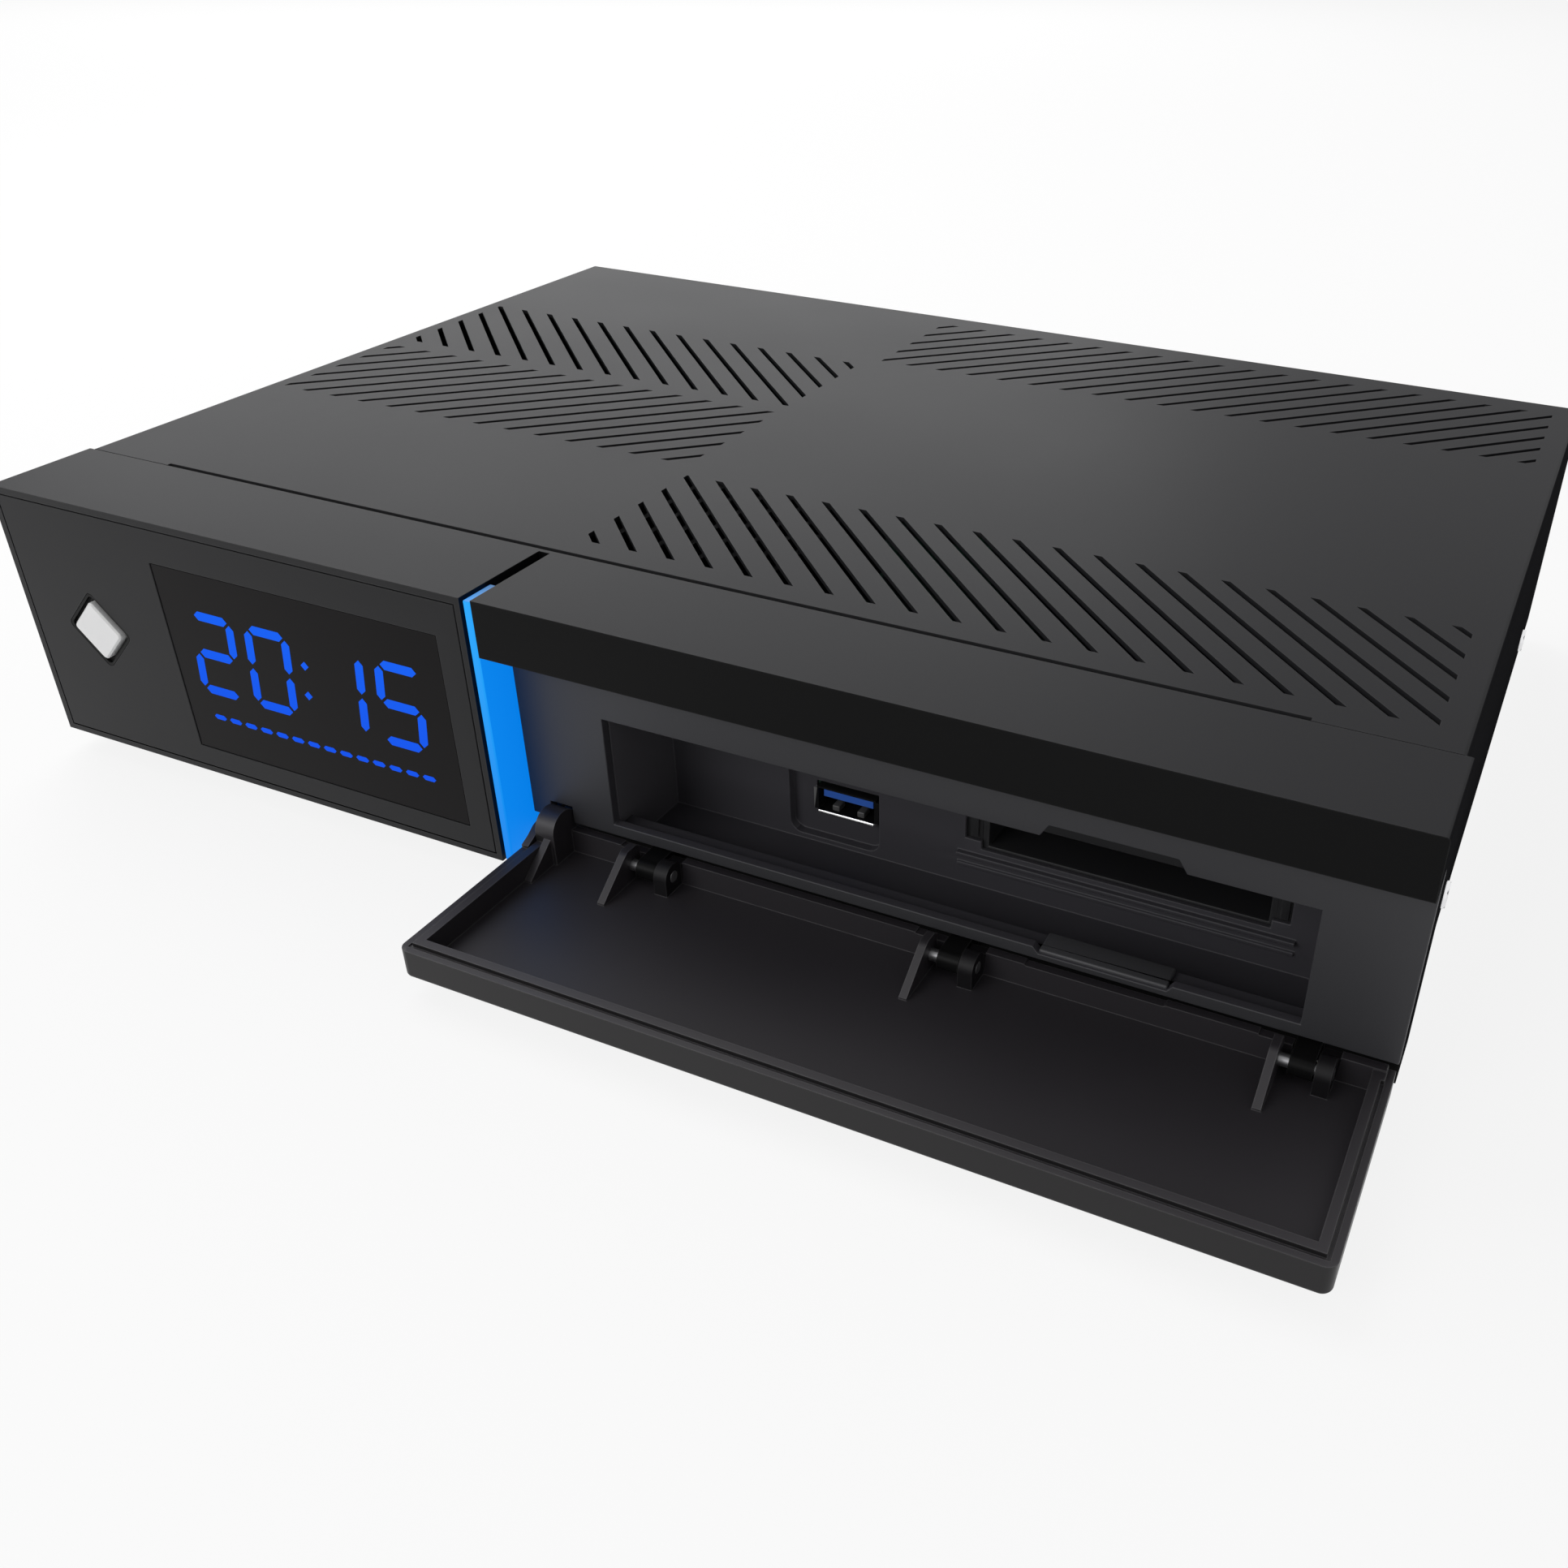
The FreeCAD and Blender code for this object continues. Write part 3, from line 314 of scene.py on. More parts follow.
def dress_sides(piece, material, chosen):
    """Another finish on the faces that a test of their middle and their direction chooses."""
    number = len(piece.data.materials)
    piece.data.materials.append(material)
    for face in piece.data.polygons:
        if chosen(face.center, face.normal):
            face.material_index = number


lid = rounded_copy("top_cover", "case", COAT_ROUND, "lid_shell")
dress(lid, finish("lid_coat", LID_GREY, COAT_ROUGH, grain=3200.0, depth=0.10, uneven=0.04, pale_edges=0.10,
                  specular=COAT_SHEEN))
# Painted shade: the lid's side skirts take a darker copy of its coat, with no sheen.
side_shade_coat = finish("side_painted_shade", SIDE_SHADE_GREY, 0.7, grain=3200.0, depth=0.10, pale_edges=0.05, specular=0.0)
dress_sides(lid, side_shade_coat, lambda spot, facing: abs(facing.x) > 0.5)


# Chassis and rear panel. Zinc-plated steel pressings that carry everything; the rear panel is
# painted black outside. Four rubber feet are screwed up into the chassis.
ZINC = (0.40, 0.405, 0.41)
REAR_BLACK = (0.022, 0.022, 0.024)
RUBBER = (0.018, 0.018, 0.018)
REAR_ROUND = 0.00018

zinc = finish("zinc_plate", ZINC, 0.38, grain=900.0, depth=0.05, cloud=60.0, uneven=0.12, pale_edges=0.2,
              metallic=0.9)
dress(nodes["base_pan"], zinc)
rear = rounded_copy("rear_panel", "case", REAR_ROUND, "rear_panel_shell")
dress(rear, finish("rear_paint", REAR_BLACK, 0.45, grain=3000.0, depth=0.2, pale_edges=0.3))
FOOT_PLACES = [(x, y) for x in (-0.124, 0.124) for y in (-0.0482, 0.0978)]
FOOT_WELL = 0.0024
FOOT_PROFILE = [(0, FOOT_WELL), (0.0036, FOOT_WELL), (0.0036, 0.0004), (0.0040, 0), (0.0078, 0),
                (0.0085, 0.0006), (0.0089, 0.0052), (0.0086, 0.0058), (0, 0.0058)]
LATHE_STEPS = 40
SMOOTH_ANGLE = math.radians(32)


def turned(profile):
    """A profile of (radius, height) points spun once round the Z axis."""
    shape = bmesh.new()
    corners = [shape.verts.new((r, 0, h)) for r, h in profile]
    lines = [shape.edges.new(ends) for ends in zip(corners, corners[1:])]
    bmesh.ops.spin(shape, geom=corners + lines, cent=(0, 0, 0), axis=(0, 0, 1), dvec=(0, 0, 0),
                   angle=math.tau, steps=LATHE_STEPS, use_merge=True, use_duplicate=False)
    bmesh.ops.remove_doubles(shape, verts=shape.verts, dist=MERGE_GAP)
    bmesh.ops.recalc_face_normals(shape, faces=shape.faces)
    return shape


def repeated(shape, places):
    """The shape once at each place, as one mesh."""
    one = bpy.data.meshes.new("one")
    shape.to_mesh(one)
    shape.free()
    many = bmesh.new()
    for place in places:
        before = len(many.verts)
        many.from_mesh(one)
        many.verts.ensure_lookup_table()
        bmesh.ops.transform(many, matrix=place, verts=many.verts[before:])
    bpy.data.meshes.remove(one)
    return many


def modelled(name, shape, body, slot, *stood_for):
    """A finished mesh as a piece that rides on a body and stands for construction pieces."""
    mesh = bpy.data.meshes.new(name)
    shape.to_mesh(mesh)
    shape.free()
    mesh.shade_smooth()
    mesh.set_sharp_from_angle(angle=SMOOTH_ANGLE)
    piece = bpy.data.objects.new(name, mesh)
    scene.collection.objects.link(piece)
    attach(piece, body)
    if stood_for:
        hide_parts(*stood_for)
    return piece


feet_shape = repeated(turned(FOOT_PROFILE), [Matrix.Translation((x, y, 0)) for x, y in FOOT_PLACES])
feet = modelled("feet", feet_shape, "case", "rubber", "rubber_feet")
dress(feet, finish("foot_rubber", RUBBER, 0.8, grain=1800.0, depth=0.3, pale_edges=0.15, specular=0.3))


# Front moulding. One black plastic bezel: the frame round the display block, the band along the
# top right, the shelf that meets the lid, and the three arms that the flap hangs on. Its top has
# the lid's coat.
BEZEL_BLACK = (0.0065, 0.0065, 0.0067)
PLATE_BLACK = (0.0185, 0.0185, 0.0197)
TOP_COAT_DEPTH = 0.0006
END_SHADE_DEPTH = 0.001
BLOCK_RIGHT = -0.0274
BLOCK_BACK = -0.089
BEZEL_ROUND = 0.0003

bezel = rounded_copy("front_bezel", "case", BEZEL_ROUND, "bezel_shell", segments=3)
bezel_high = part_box("front_bezel")[1]
dress(bezel, finish("bezel_front_gloss", BEZEL_BLACK, 0.32, grain=2000.0, depth=0.05, pale_edges=0.10,
                    specular=0.06))
dress_sides(bezel, finish("bezel_top_coat", LID_GREY, COAT_ROUGH, grain=3200.0, depth=0.10, uneven=0.04,
                          pale_edges=0.08, specular=COAT_SHEEN),
            lambda spot, facing: facing.z > 0.5 and spot.z > bezel_high.z - TOP_COAT_DEPTH)
block_satin = finish("block_satin", PLATE_BLACK, 0.42, grain=2600.0, depth=0.05, pale_edges=0.15, specular=0.15)
dress_sides(bezel, block_satin,
            lambda spot, facing: facing.z < 0.5 and spot.x < BLOCK_RIGHT and spot.y < BLOCK_BACK)
# Painted shade: the bezel's right end takes the same darker, sheen-free copy of the lid coat.
dress_sides(bezel, side_shade_coat,
            lambda spot, facing: facing.x > 0.5 and spot.x > bezel_high.x - END_SHADE_DEPTH)


# Face plate, display and power button. A satin black plate is bonded into the bezel; the display
# window lies in its cut-out, and a silver button stands on its corner in a small sunk tray.
GLASS_BLACK = (0.0058, 0.0048, 0.0052)
BUTTON_SILVER = (0.96, 0.962, 0.965)
SURROUND_BLACK = (0.004, 0.004, 0.0042)
PLATE_ROUND = 0.00022
GLASS_ROUND = 0.00015
BUTTON_ROUND = 0.0001

plate = rounded_copy("face_plate", "case", PLATE_ROUND, "face_plate_shell")
dress(plate, block_satin)
glass = rounded_copy("display_window", "case", GLASS_ROUND, "display_glass")
dress(glass, finish("display_black", GLASS_BLACK, 0.3, grain=900.0, depth=0.01, uneven=0.02, pale_edges=0.05,
                    specular=0.08))
surround = rounded_copy("button_surround", "case", GLASS_ROUND, "button_tray")
dress(surround, finish("tray_black", SURROUND_BLACK, 0.4, pale_edges=0.1, specular=0.1))
button = rounded_copy("power_button", "button", BUTTON_ROUND, "power_button_cap")
dress(button, finish("button_silver", BUTTON_SILVER, 0.32, grain=4000.0, depth=0.05, pale_edges=0.0))


# Display picture. Plain clock digits and a dashed line below them, drawn in blue by the display
# behind the smoked window. Each lit bar of a digit is a thin plate on the window's front.
DIGIT_BLUE = (0.010, 0.080, 0.80)
DIGIT_HIGH = (0.012, 0.130, 0.90)
DIGIT_HEIGHT = 0.0175
DIGIT_WIDTH = 0.0098
BAR_THICK = 0.0021
BAR_GAP = 0.0009
DIGIT_STEP = 0.0148
DIGIT_SLANT = 0.12
PAIR_GAP = 0.004
DOT_UP = 0.0035
DASH = (0.0034, 0.0012)
DASH_STEP = 0.0043
DASH_COUNT = 14
DASH_START = (-0.028, -0.0155)
PICTURE_LIFT = 0.003
PICTURE_DEPTH = 0.00002
BARS = {
    "top": (0, 1, True), "middle": (0, 0, True), "bottom": (0, -1, True),
    "upper_left": (-1, 0.5, False), "upper_right": (1, 0.5, False),
    "lower_left": (-1, -0.5, False), "lower_right": (1, -0.5, False),
}
LIT = {
    "2": ("top", "upper_right", "middle", "lower_left", "bottom"),
    "0": ("top", "upper_left", "upper_right", "lower_left", "lower_right", "bottom"),
    "1": ("upper_right", "lower_right"),
    "5": ("top", "upper_left", "middle", "lower_right", "bottom"),
}


def lit_plate(shape, x, z, wide, high, slant=0.0):
    """One flat lit plate with pointed ends, facing the front."""
    reach = min(wide, high) / 2
    if wide >= high:
        outline = [(-wide / 2, 0), (-wide / 2 + reach, -high / 2), (wide / 2 - reach, -high / 2),
                   (wide / 2, 0), (wide / 2 - reach, high / 2), (-wide / 2 + reach, high / 2)]
    else:
        outline = [(0, -high / 2), (wide / 2, -high / 2 + reach), (wide / 2, high / 2 - reach), (0, high / 2),
                   (-wide / 2, high / 2 - reach), (-wide / 2, -high / 2 + reach)]
    corners = [shape.verts.new((x + px + (z + pz) * slant, 0, z + pz)) for px, pz in outline]
    shape.faces.new(corners)


def display_picture():
    """Four digits, two dots and a line of dashes, on the front of the window."""
    low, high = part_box("display_window")
    centre = (low + high) / 2
    shape = bmesh.new()
    start = -1.5 * DIGIT_STEP - PAIR_GAP / 2
    for place, digit in enumerate("2015"):
        x = start + place * DIGIT_STEP + (PAIR_GAP if place > 1 else 0)
        for bar in LIT[digit]:
            across, up, level = BARS[bar]
            size = (DIGIT_WIDTH - BAR_GAP, BAR_THICK) if level else (BAR_THICK, DIGIT_HEIGHT / 2 - BAR_GAP)
            lit_plate(shape, x + across * DIGIT_WIDTH / 2, up * DIGIT_HEIGHT / 2, *size, DIGIT_SLANT)
    for up in (-DOT_UP, DOT_UP):
        lit_plate(shape, start + 1.5 * DIGIT_STEP + PAIR_GAP / 2, up, BAR_THICK, BAR_THICK, DIGIT_SLANT)
    for step in range(DASH_COUNT):
        lit_plate(shape, DASH_START[0] + step * DASH_STEP, DASH_START[1], *DASH)
    bmesh.ops.solidify(shape, geom=shape.faces[:], thickness=PICTURE_DEPTH)
    bmesh.ops.translate(shape, verts=shape.verts,
                        vec=(centre.x, low.y - PICTURE_DEPTH, centre.z + PICTURE_LIFT))
    bmesh.ops.recalc_face_normals(shape, faces=shape.faces)
    picture_mesh = bpy.data.meshes.new("display_digits")
    shape.to_mesh(picture_mesh)
    shape.free()
    picture = bpy.data.objects.new("display_digits", picture_mesh)
    scene.collection.objects.link(picture)
    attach(picture, "case")
    return picture


LENS_BLACK = (0.005, 0.005, 0.006, 1)
LENS_ROUGH = 0.45
LENS_SHEEN = 0.1


def glow(name, colour, dim, span, axis):
    """A lit surface whose colour falls off evenly along one axis of the object."""
    material = bpy.data.materials.new(name)
    material.use_nodes = True
    tree = material.node_tree
    shader = tree.nodes["Principled BSDF"]
    place = tree.nodes.new("ShaderNodeTexCoord")
    split = tree.nodes.new("ShaderNodeSeparateXYZ")
    fall = tree.nodes.new("ShaderNodeMapRange")
    fall.inputs["From Min"].default_value, fall.inputs["From Max"].default_value = span
    blend = tree.nodes.new("ShaderNodeMix")
    blend.data_type = "RGBA"
    blend.inputs["A"].default_value = (*colour, 1)
    blend.inputs["B"].default_value = (*dim, 1)
    wire(tree, place, "Object", split, "Vector")
    wire(tree, split, axis, fall, "Value")
    wire(tree, fall, "Result", blend, "Factor")
    tree.links.new(blend.outputs["Result"], shader.inputs["Emission Color"])
    shader.inputs["Emission Strength"].default_value = 1.0
    shader.inputs["Base Color"].default_value = LENS_BLACK
    shader.inputs["Roughness"].default_value = LENS_ROUGH
    shader.inputs["Specular IOR Level"].default_value = LENS_SHEEN
    return material


picture = display_picture()
picture_low, picture_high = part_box("display_window")
dress(picture, glow("digit_light", DIGIT_BLUE, DIGIT_HIGH, (picture_low.z, picture_high.z), "Z"))


# Light guide. A milky blade of acrylic between display block and flap, lit from behind by four
# blue lamps on a small board. Its front edge glows palest, and its top fades out towards the back.
GUIDE_BLUE = (0.001, 0.200, 0.78)
GUIDE_SIDE = (0.002, 0.235, 0.85)
GUIDE_PALE = (0.016, 0.390, 0.98)
GUIDE_EDGE = (0.012, 0.300, 0.85)
GUIDE_TOP = (0.004, 0.010, 0.020)
GUIDE_FADE = 0.013
GUIDE_ROUND = 0.00015

guide = rounded_copy("light_guide", "case", GUIDE_ROUND, "light_guide_blade")
guide_low, guide_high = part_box("light_guide")
dress(guide, glow("guide_light", GUIDE_SIDE, GUIDE_BLUE, (guide_low.y, guide_high.y), "Y"))
dress_sides(guide, glow("guide_front_light", GUIDE_PALE, GUIDE_SIDE, (guide_high.z, guide_low.z), "Z"),
            lambda spot, facing: facing.y < -0.3)
guide_top = glow("guide_top_light", GUIDE_EDGE, GUIDE_TOP, (guide_low.y, guide_low.y + GUIDE_FADE), "Y")
dress_sides(guide, guide_top, lambda spot, facing: facing.z > 0.9)


# Recess panel and liner. A textured panel set 8 mm back, with a window and two finger notches,
# and behind it the black moulded box that frames the USB socket and the card slots. A low block
# on the window's sill guides a finger to the cards.
PANEL_GREY = (0.038, 0.038, 0.042)
LINER_BLACK = (0.050, 0.048, 0.056)
LINER_LIT_SIDE = (0.110, 0.106, 0.118)
SCOOP = ((0.0855, -0.0834, 0.0139), (0.1096, -0.0777, 0.0149))
SCOOP_ROUND = 0.0004
SCOOP_LIT_GREY = (0.06, 0.06, 0.065)
RECESS_ROUND = 0.0002

panel = rounded_copy("recess_panel", "case", RECESS_ROUND, "recess_panel_shell")
dress(panel, finish("panel_texture", PANEL_GREY, 0.5, grain=3000.0, depth=0.12, pale_edges=0.12, specular=0.4))
liner_texture = finish("liner_texture", LINER_BLACK, 0.55, grain=2200.0, depth=0.2, pale_edges=0.35,
                       specular=0.4)
dress_sides(panel, liner_texture, lambda spot, facing: facing.y >= -0.5)
liner = rounded_copy("recess_liner", "case", RECESS_ROUND, "recess_liner_shell")
dress(liner, liner_texture)
# Painted light: the liner's walls that face right take a paler copy of its texture.
dress_sides(liner, finish("liner_painted_light", LINER_LIT_SIDE, 0.55, grain=2200.0, depth=0.2, pale_edges=0.2, specular=0.4),
            lambda spot, facing: facing.x > 0.5)


def edges_of(verts):
    """Every edge that ends at these corners, once each and always in the same order."""
    return list(dict.fromkeys(edge for vert in verts for edge in vert.link_edges))


def small_block(shape, low, high, soft):
    """A moulded or stamped block with rounded edges, added to a shape."""
    made = bmesh.ops.create_cube(shape, size=1.0)["verts"]
    middle, size = (Vector(low) + Vector(high)) / 2, Vector(high) - Vector(low)
    bmesh.ops.scale(shape, verts=made, vec=size)
    bmesh.ops.translate(shape, verts=made, vec=middle)
    bmesh.ops.bevel(shape, geom=edges_of(made), offset=soft, offset_type="OFFSET", affect="EDGES", segments=3,
                    profile=0.5, material=-1)


scoop_shape = bmesh.new()
small_block(scoop_shape, *SCOOP, SCOOP_ROUND)
scoop = modelled("finger_scoop", scoop_shape, "case", "panel")
# Painted light: the scoop takes a paler copy of the panel's texture.
dress(scoop, finish("scoop_painted_light", SCOOP_LIT_GREY, 0.5, grain=3000.0, depth=0.12, pale_edges=0.12))


# Card slots and USB socket behind the flap. Two card slots in one black cage with moulded cheeks,
# and a stamped USB shell, bright at its flared lip, with a blue tongue and two contact springs.
CAGE_BLACK = (0.012, 0.012, 0.0135)
NICKEL = (0.82, 0.82, 0.83)
TONGUE_BLUE = (0.05, 0.17, 0.70)
SHELL_SHADE = (0.012, 0.012, 0.013)
SPRING_GREY = (0.10, 0.10, 0.10)
FLARE_SHADE_GREY = (0.18, 0.18, 0.18)
LIP_HIGH = 0.0005
LIP = ((-0.0063, -0.0002, -0.0003), (0.0062, 0.0002, 0.0003))
LIP_TILT = math.radians(-20)
LIP_OUT = 0.0001
LIP_ROUND = 0.00008
SPRING_APART = 0.0028
SPRING = ((-0.0008, 0.0008, 0.0003), (0.0008, 0.0035, 0.0016))
SPRING_ROUND = 0.0002
CHEEKS = ((0.0608, 0.0648, 0.0632), (0.1226, 0.1262, 0.1242))
CHEEK_FRONT = -0.0606
CHEEK_DEEP = 0.005
CHEEK_Z = (0.0165, 0.0358)
CHEEK_ROUND = 0.0003
STEP_HALF = 0.0008
STEP_Y = (CHEEK_FRONT - 0.0006, CHEEK_FRONT + 0.001)
STEP_Z = (0.019, 0.033)
STEP_ROUND = 0.0002
CAGE_ROUND = 0.0002
SHEET_ROUND = 0.0001
TONGUE_ROUND = 0.00012

nickel = finish("nickel", NICKEL, 0.16, grain=600.0, depth=0.02, uneven=0.06, pale_edges=0.0, metallic=1.0)
cage_black = finish("cage_black", CAGE_BLACK, 0.6, pale_edges=0.2)
blue_moulding = finish("tongue_blue", TONGUE_BLUE, 0.35, grain=1500.0, depth=0.05, pale_edges=0.2)
cage = rounded_copy("card_cage", "case", CAGE_ROUND, "card_cage_shell")
dress(cage, cage_black)
dress(nodes["card_contacts"], cage_black)
cheeks = bmesh.new()
for low_x, high_x, step_x in CHEEKS:
    small_block(cheeks, (low_x, CHEEK_FRONT, CHEEK_Z[0]), (high_x, CHEEK_FRONT + CHEEK_DEEP, CHEEK_Z[1]),
                CHEEK_ROUND)
    small_block(cheeks, (step_x - STEP_HALF, STEP_Y[0], STEP_Z[0]),
                (step_x + STEP_HALF, STEP_Y[1], STEP_Z[1]), STEP_ROUND)
dress(modelled("card_slot_cheeks", cheeks, "case", "parts_black"), cage_black)
usb_shell = rounded_copy("usb_front_shell", "case", SHEET_ROUND, "usb_front_case")
dress(usb_shell, nickel)
usb_low, usb_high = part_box("usb_front_shell")
usb_middle = (usb_low.x + usb_high.x) / 2
# Painted shade: the nickel shell's inside and upper parts take a near-black copy of the steel, so only the
# lip stays bright.
shell_shade = finish("usb_shell_painted_shade", SHELL_SHADE, 0.45, grain=600.0, depth=0.02, pale_edges=0.0, metallic=0.5,
                    specular=0.2)
dress_sides(usb_shell, shell_shade, lambda spot, facing:
            (spot.z > usb_low.z + LIP_HIGH or facing.z > 0.9) and spot.x > usb_low.x + LIP_HIGH)
spring_steel = finish("spring_steel", SPRING_GREY, 0.35, pale_edges=0.0)
# Painted shade: the front of the shell's left flare takes a dull grey copy of the steel.
dress_sides(usb_shell, finish("flare_painted_shade", FLARE_SHADE_GREY, 0.4, pale_edges=0.0), lambda spot, facing:
            facing.y < -0.3 and spot.x < usb_low.x + LIP_HIGH)
lip = bmesh.new()
small_block(lip, *LIP, LIP_ROUND)
bmesh.ops.rotate(lip, verts=lip.verts, cent=(0, 0, 0), matrix=Matrix.Rotation(LIP_TILT, 3, "X"))
bmesh.ops.translate(lip, verts=lip.verts, vec=(usb_middle, usb_low.y - LIP_OUT, usb_low.z + LIP_OUT))
dress(modelled("usb_front_lip", lip, "case", "bright"), nickel)
springs = bmesh.new()
for side in (-1, 1):
    root = Vector((usb_middle + side * SPRING_APART, usb_low.y, usb_low.z))
    small_block(springs, root + Vector(SPRING[0]), root + Vector(SPRING[1]), SPRING_ROUND)
dress(modelled("usb_front_springs", springs, "case", "bright"), spring_steel)
tongue = rounded_copy("usb_front_tongue", "case", TONGUE_ROUND, "usb_front_blade")
dress(tongue, blue_moulding)


# Flap. A moulded gloss black tray that turns on three steel pins, inner side up when open. It has a
# stepped rim, four ribs, bosses beside the hinge arms and a cranked lug at the left end.
FLAP_OUTSIDE = (0.018, 0.017, 0.018)
FLAP_INSIDE = (0.0255, 0.023, 0.0268)
BOSS_SHADE_BLACK = (0.006, 0.0055, 0.0065)
PIN_STEEL = (0.30, 0.30, 0.31)
RIM_WIDTH = 0.0034
SKIN_DEPTH = 0.001
BOSS_X = (0.0072, 0.0722, 0.1372)
BOSS_WIDE = 0.0035
BOSS_FRONT = -0.092
BOSS_ABOVE = 0.0025
FLAP_ROUND = 0.0002
PIN_ROUND = 0.0001

flap = rounded_copy("door_panel", "door", FLAP_ROUND, "flap_shell", segments=3)
flap_low, flap_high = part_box("door_panel")


def inside_of_flap(spot, facing):
    """The tray's floor, walls and ribs, and whatever faces up while the flap is open."""
    between = flap_low.x + RIM_WIDTH < spot.x < flap_high.x - RIM_WIDTH and spot.y > flap_low.y + RIM_WIDTH
    return facing.z > 0.5 or between and spot.z > flap_low.z + SKIN_DEPTH


def hinge_boss(spot, facing):
    """The round bosses that the pins turn in."""
    above = spot.z > flap_low.z + BOSS_ABOVE and spot.y > BOSS_FRONT
    return above and any(x < spot.x < x + BOSS_WIDE for x in BOSS_X)


dress(flap, finish("flap_gloss", FLAP_OUTSIDE, 0.38, grain=2400.0, depth=0.05, pale_edges=0.15, specular=0.2))
dress_sides(flap, finish("flap_inside", FLAP_INSIDE, 0.45, grain=2400.0, depth=0.08, pale_edges=0.25,
                         specular=0.4), inside_of_flap)
# Painted shade: the hinge bosses take a darker black than the rest of the flap.
dress_sides(flap, finish("boss_painted_shade", BOSS_SHADE_BLACK, 0.5, pale_edges=0.1, specular=0.2), hinge_boss)
pins = rounded_copy("hinge_pins", "case", PIN_ROUND, "hinge_pin_rods")
dress(pins, finish("pin_steel", PIN_STEEL, 0.4, grain=600.0, depth=0.02, pale_edges=0.0, metallic=0.9))


# Main board and what stands on it, and the small boards behind the front. Green solder mask,
# black chips, a black anodised heatsink and two tinned tuner cans.
MASK_GREEN = (0.012, 0.07, 0.035)
CHIP_BLACK = (0.016, 0.016, 0.017)
ALLOY_BLACK = (0.012, 0.012, 0.013)
TIN = (0.22, 0.22, 0.225)

board_mask = finish("solder_mask", MASK_GREEN, 0.35, grain=700.0, depth=0.1, cloud=200.0, pale_edges=0.1)
chip_black = finish("chip_black", CHIP_BLACK, 0.5, pale_edges=0.2)
anodised = finish("black_anodised", ALLOY_BLACK, 0.6, grain=1200.0, depth=0.1, pale_edges=0.05, specular=0.1)
tin = finish("tin_plate", TIN, 0.5, grain=1200.0, depth=0.05, pale_edges=0.05, metallic=0.8)
for name in ("main_board", "front_board", "light_board"):
    dress(nodes[name], board_mask)
for name in ("board_chips", "display_module", "key_switch"):
    dress(nodes[name], chip_black)
for name in ("board_stands", "board_screws", "tuner_left", "tuner_right"):
    dress(nodes[name], tin)
dress(nodes["heatsink"], anodised)


# Rear sockets. Nickel aerial connectors, threaded and nutted to the panel, with white insulators; a
# shielded network socket, stacked USB, two HDMI, an optical socket, a 12 V inlet and a rocker switch.
DIELECTRIC = (0.75, 0.74, 0.7)
GOLD = (0.9, 0.62, 0.2)
PANEL_FACE_Y = 0.1192
AERIAL_X = (0.030, 0.054, 0.088, 0.112)
AERIAL_Z = 0.024
BARREL_FLOOR = 0.0051
BARREL_END = [(0, BARREL_FLOOR), (0.0024, BARREL_FLOOR), (0.0024, 0.00945), (0.00255, 0.0096),
              (0.0041, 0.0096), (0.0044, 0.0093)]
BARREL_ROOT = -0.001
THREAD_TOP, THREAD_PITCH, THREAD_TURNS = 0.0091, 0.00079, 8
THREAD_R, CORE_R = 0.0047, 0.0043
NUT_R, NUT_HIGH = 0.0062, 0.0022
NUT_ROUND = 0.00035
SOCKET_ROUND = 0.0001
MOULDED_ROUND = 0.00025
INLET_X, INLET_Z = -0.128, 0.0206
LAN_X = -0.076
LAN_WIRES, LAN_PITCH = 8, 0.00102
LAN_WIRE = ((-0.0002, -0.0075, 0.0122), (0.0002, -0.0022, 0.0130))
LAN_ROUND = 0.00008
TO_BACK = Matrix.Rotation(math.radians(-90), 4, "X")


def aerial_connector():
    """A threaded barrel with a bored, flat end, and the hexagon nut that holds it."""
    profile = list(BARREL_END)
    for turn in range(THREAD_TURNS):
        top = THREAD_TOP - turn * THREAD_PITCH
        profile += [(THREAD_R, top), (CORE_R, top - THREAD_PITCH / 2)]
    profile += [(CORE_R, BARREL_ROOT), (0, BARREL_ROOT)]
    shape = turned(profile)
    nut = bmesh.ops.create_cone(shape, cap_ends=True, segments=6, radius1=NUT_R, radius2=NUT_R,
                                depth=NUT_HIGH)["verts"]
    bmesh.ops.translate(shape, verts=nut, vec=(0, 0, NUT_HIGH / 2))
    bmesh.ops.bevel(shape, geom=edges_of(nut), offset=NUT_ROUND, offset_type="OFFSET", affect="EDGES",
                    segments=2, profile=0.5, material=-1)
    return shape


def facing_back(x, z):
    """The place of a piece on the rear panel's face, turned to look backwards."""
    return Matrix.Translation((x, PANEL_FACE_Y, z)) @ TO_BACK


aerial_places = [facing_back(x, AERIAL_Z) for x in AERIAL_X]
connector_shape = repeated(aerial_connector(), aerial_places)
dress(modelled("aerial_connectors", connector_shape, "case", "bright", "f_connectors"), nickel)
INSULATOR_PROFILE = [(0, BARREL_FLOOR), (0.00236, BARREL_FLOOR), (0.00236, 0.0086), (0.0022, 0.0088),
                     (0.0010, 0.0088), (0.0005, 0.0083), (0.0005, 0.0056), (0, 0.0056)]
insulator_shape = repeated(turned(INSULATOR_PROFILE), aerial_places)
insulators = modelled("aerial_insulators", insulator_shape, "case", "white", "f_insulators")
dress(insulators, finish("insulator_white", DIELECTRIC, 0.5, pale_edges=0.0))

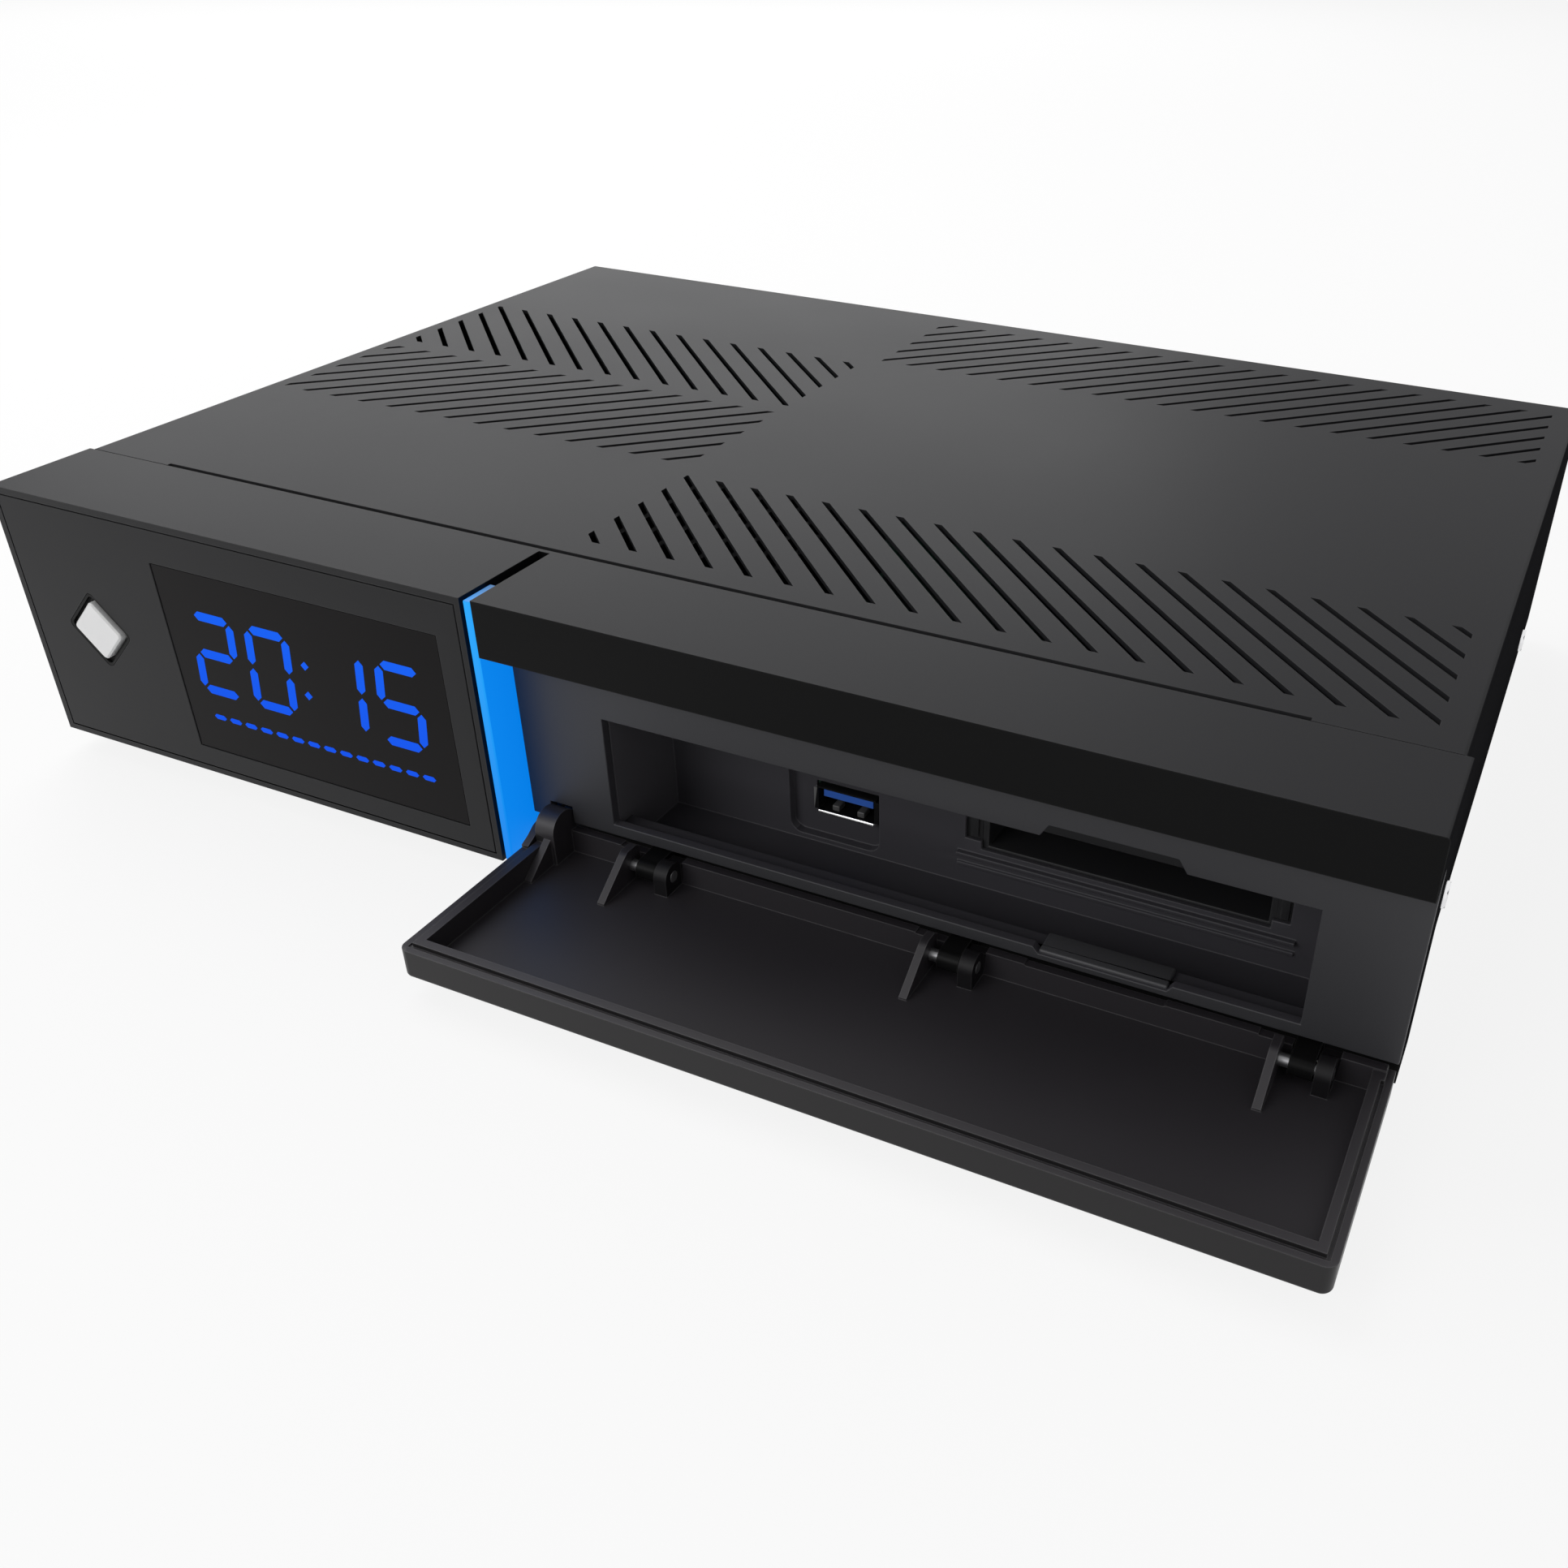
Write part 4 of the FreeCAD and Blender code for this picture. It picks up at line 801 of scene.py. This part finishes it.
INLET_PROFILE = [(0, -0.006), (0.0032, -0.006), (0.0032, 0.0005), (0.0034, 0.0008), (0.0047, 0.0008),
                 (0.0050, 0.0005), (0.0050, -0.0012), (0, -0.0012)]
INLET_PIN = [(0, -0.006), (0.00105, -0.006), (0.00105, -0.0011), (0.0009, -0.0008), (0, -0.0008)]
inlet_place = [facing_back(INLET_X, INLET_Z)]
inlet_shape = repeated(turned(INLET_PROFILE), inlet_place)
dress(modelled("inlet_ring", inlet_shape, "case", "parts_black", "power_jack"), chip_black)
dress(modelled("inlet_pin", repeated(turned(INLET_PIN), inlet_place), "case", "bright"), nickel)

for node, name in (("lan_socket", "lan_case"), ("usb_rear_shells", "usb_rear_cases"),
                   ("hdmi_sockets", "hdmi_cases")):
    dress(rounded_copy(node, "case", SOCKET_ROUND, name), nickel)
dress(rounded_copy("usb_rear_tongues", "case", SOCKET_ROUND, "usb_rear_blades"), blue_moulding)
for node, body, name in (("optical_socket", "case", "optical_case"), ("switch_frame", "case", "switch_tub"),
                         ("switch_rocker", "rocker", "rocker_cap")):
    dress(rounded_copy(node, body, MOULDED_ROUND, name), chip_black)

gold = finish("gold_contact", GOLD, 0.25, grain=600.0, depth=0.02, pale_edges=0.0, metallic=1.0)
contacts = bmesh.new()
for number in range(LAN_WIRES):
    root = Vector((LAN_X + (number - (LAN_WIRES - 1) / 2) * LAN_PITCH, PANEL_FACE_Y, 0))
    small_block(contacts, root + Vector(LAN_WIRE[0]), root + Vector(LAN_WIRE[1]), LAN_ROUND)
dress(modelled("lan_contacts", contacts, "case", "bright"), gold)


# Fasteners. Steel pan-head screws with a cross recess: two a side through the lid's skirts, nickel
# plated, and five in the rear panel and one up through each foot, in black oxide.
SCREW_BLACK = (0.03, 0.03, 0.032)
LID_SIDE = 0.149
LID_HEAD = (0.0028, 0.0008)
REAR_HEAD = (0.0027, 0.0013)
FOOT_HEAD = (0.0029, 0.0014)
HEAD_ROUND = ((0.9, 0.97), (0.98, 0.75), (1.0, 0.4), (1.0, 0.0))
HEAD_SIDES = 20
CROSS_SPAN = 0.75
CROSS_DEPTH = 0.75
CROSS_ARM = (0.1, 0.6)
LID_SCREWS = [(y, 0.0136) for y in (-0.0322, 0.0878)]
REAR_SCREWS = [(-0.140, 0.057), (0.0, 0.057), (0.140, 0.057), (-0.140, 0.013), (0.140, 0.013)]


def screw_head(radius, high):
    """A pan head standing on the base plane, with a cross sunk in its top."""
    shape = bmesh.new()
    half = radius * CROSS_SPAN
    bmesh.ops.create_grid(shape, x_segments=5, y_segments=5, size=half)
    bmesh.ops.translate(shape, verts=shape.verts, vec=(0, 0, high))
    cross = []
    for face in shape.faces:
        across, along = sorted(abs(c) for c in face.calc_center_median().xy)
        if across < half * CROSS_ARM[0] and along < half * CROSS_ARM[1]:
            cross.append(face)
    sunk = bmesh.ops.extrude_face_region(shape, geom=cross)["geom"]
    low = [part for part in sunk if isinstance(part, bmesh.types.BMVert)]
    bmesh.ops.translate(shape, verts=low, vec=(0, 0, -high * CROSS_DEPTH))
    loop = [edge for edge in shape.edges if edge.is_boundary]
    for r, h in HEAD_ROUND:
        circle = bmesh.ops.create_circle(shape, segments=HEAD_SIDES, radius=radius * r)["verts"]
        bmesh.ops.translate(shape, verts=circle, vec=(0, 0, high * h))
        outer = edges_of(circle)
        bmesh.ops.bridge_loops(shape, edges=loop + outer)
        loop = outer
    bmesh.ops.holes_fill(shape, edges=loop, sides=HEAD_SIDES)
    bmesh.ops.recalc_face_normals(shape, faces=shape.faces)
    return shape


screw_black = finish("screw_black", SCREW_BLACK, 0.32, grain=1500.0, depth=0.05, pale_edges=0.5, metallic=0.7)
sides = [Matrix.Translation((side * LID_SIDE, y, z)) @ Matrix.Rotation(math.radians(side * 90), 4, "Y")
         for y, z in LID_SCREWS for side in (-1, 1)]
lid_heads = repeated(screw_head(*LID_HEAD), sides)
dress(modelled("lid_screw_heads", lid_heads, "case", "bright", "lid_screws"), nickel)
rear_heads = repeated(screw_head(*REAR_HEAD), [facing_back(x, z) for x, z in REAR_SCREWS])
dress(modelled("rear_screw_heads", rear_heads, "case", "screws", "rear_screws"), screw_black)
unders = [Matrix.Translation((x, y, FOOT_WELL)) @ Matrix.Rotation(math.pi, 4, "X") for x, y in FOOT_PLACES]
foot_heads = repeated(screw_head(*FOOT_HEAD), unders)
dress(modelled("foot_screw_heads", foot_heads, "case", "screws", "foot_screws"), screw_black)
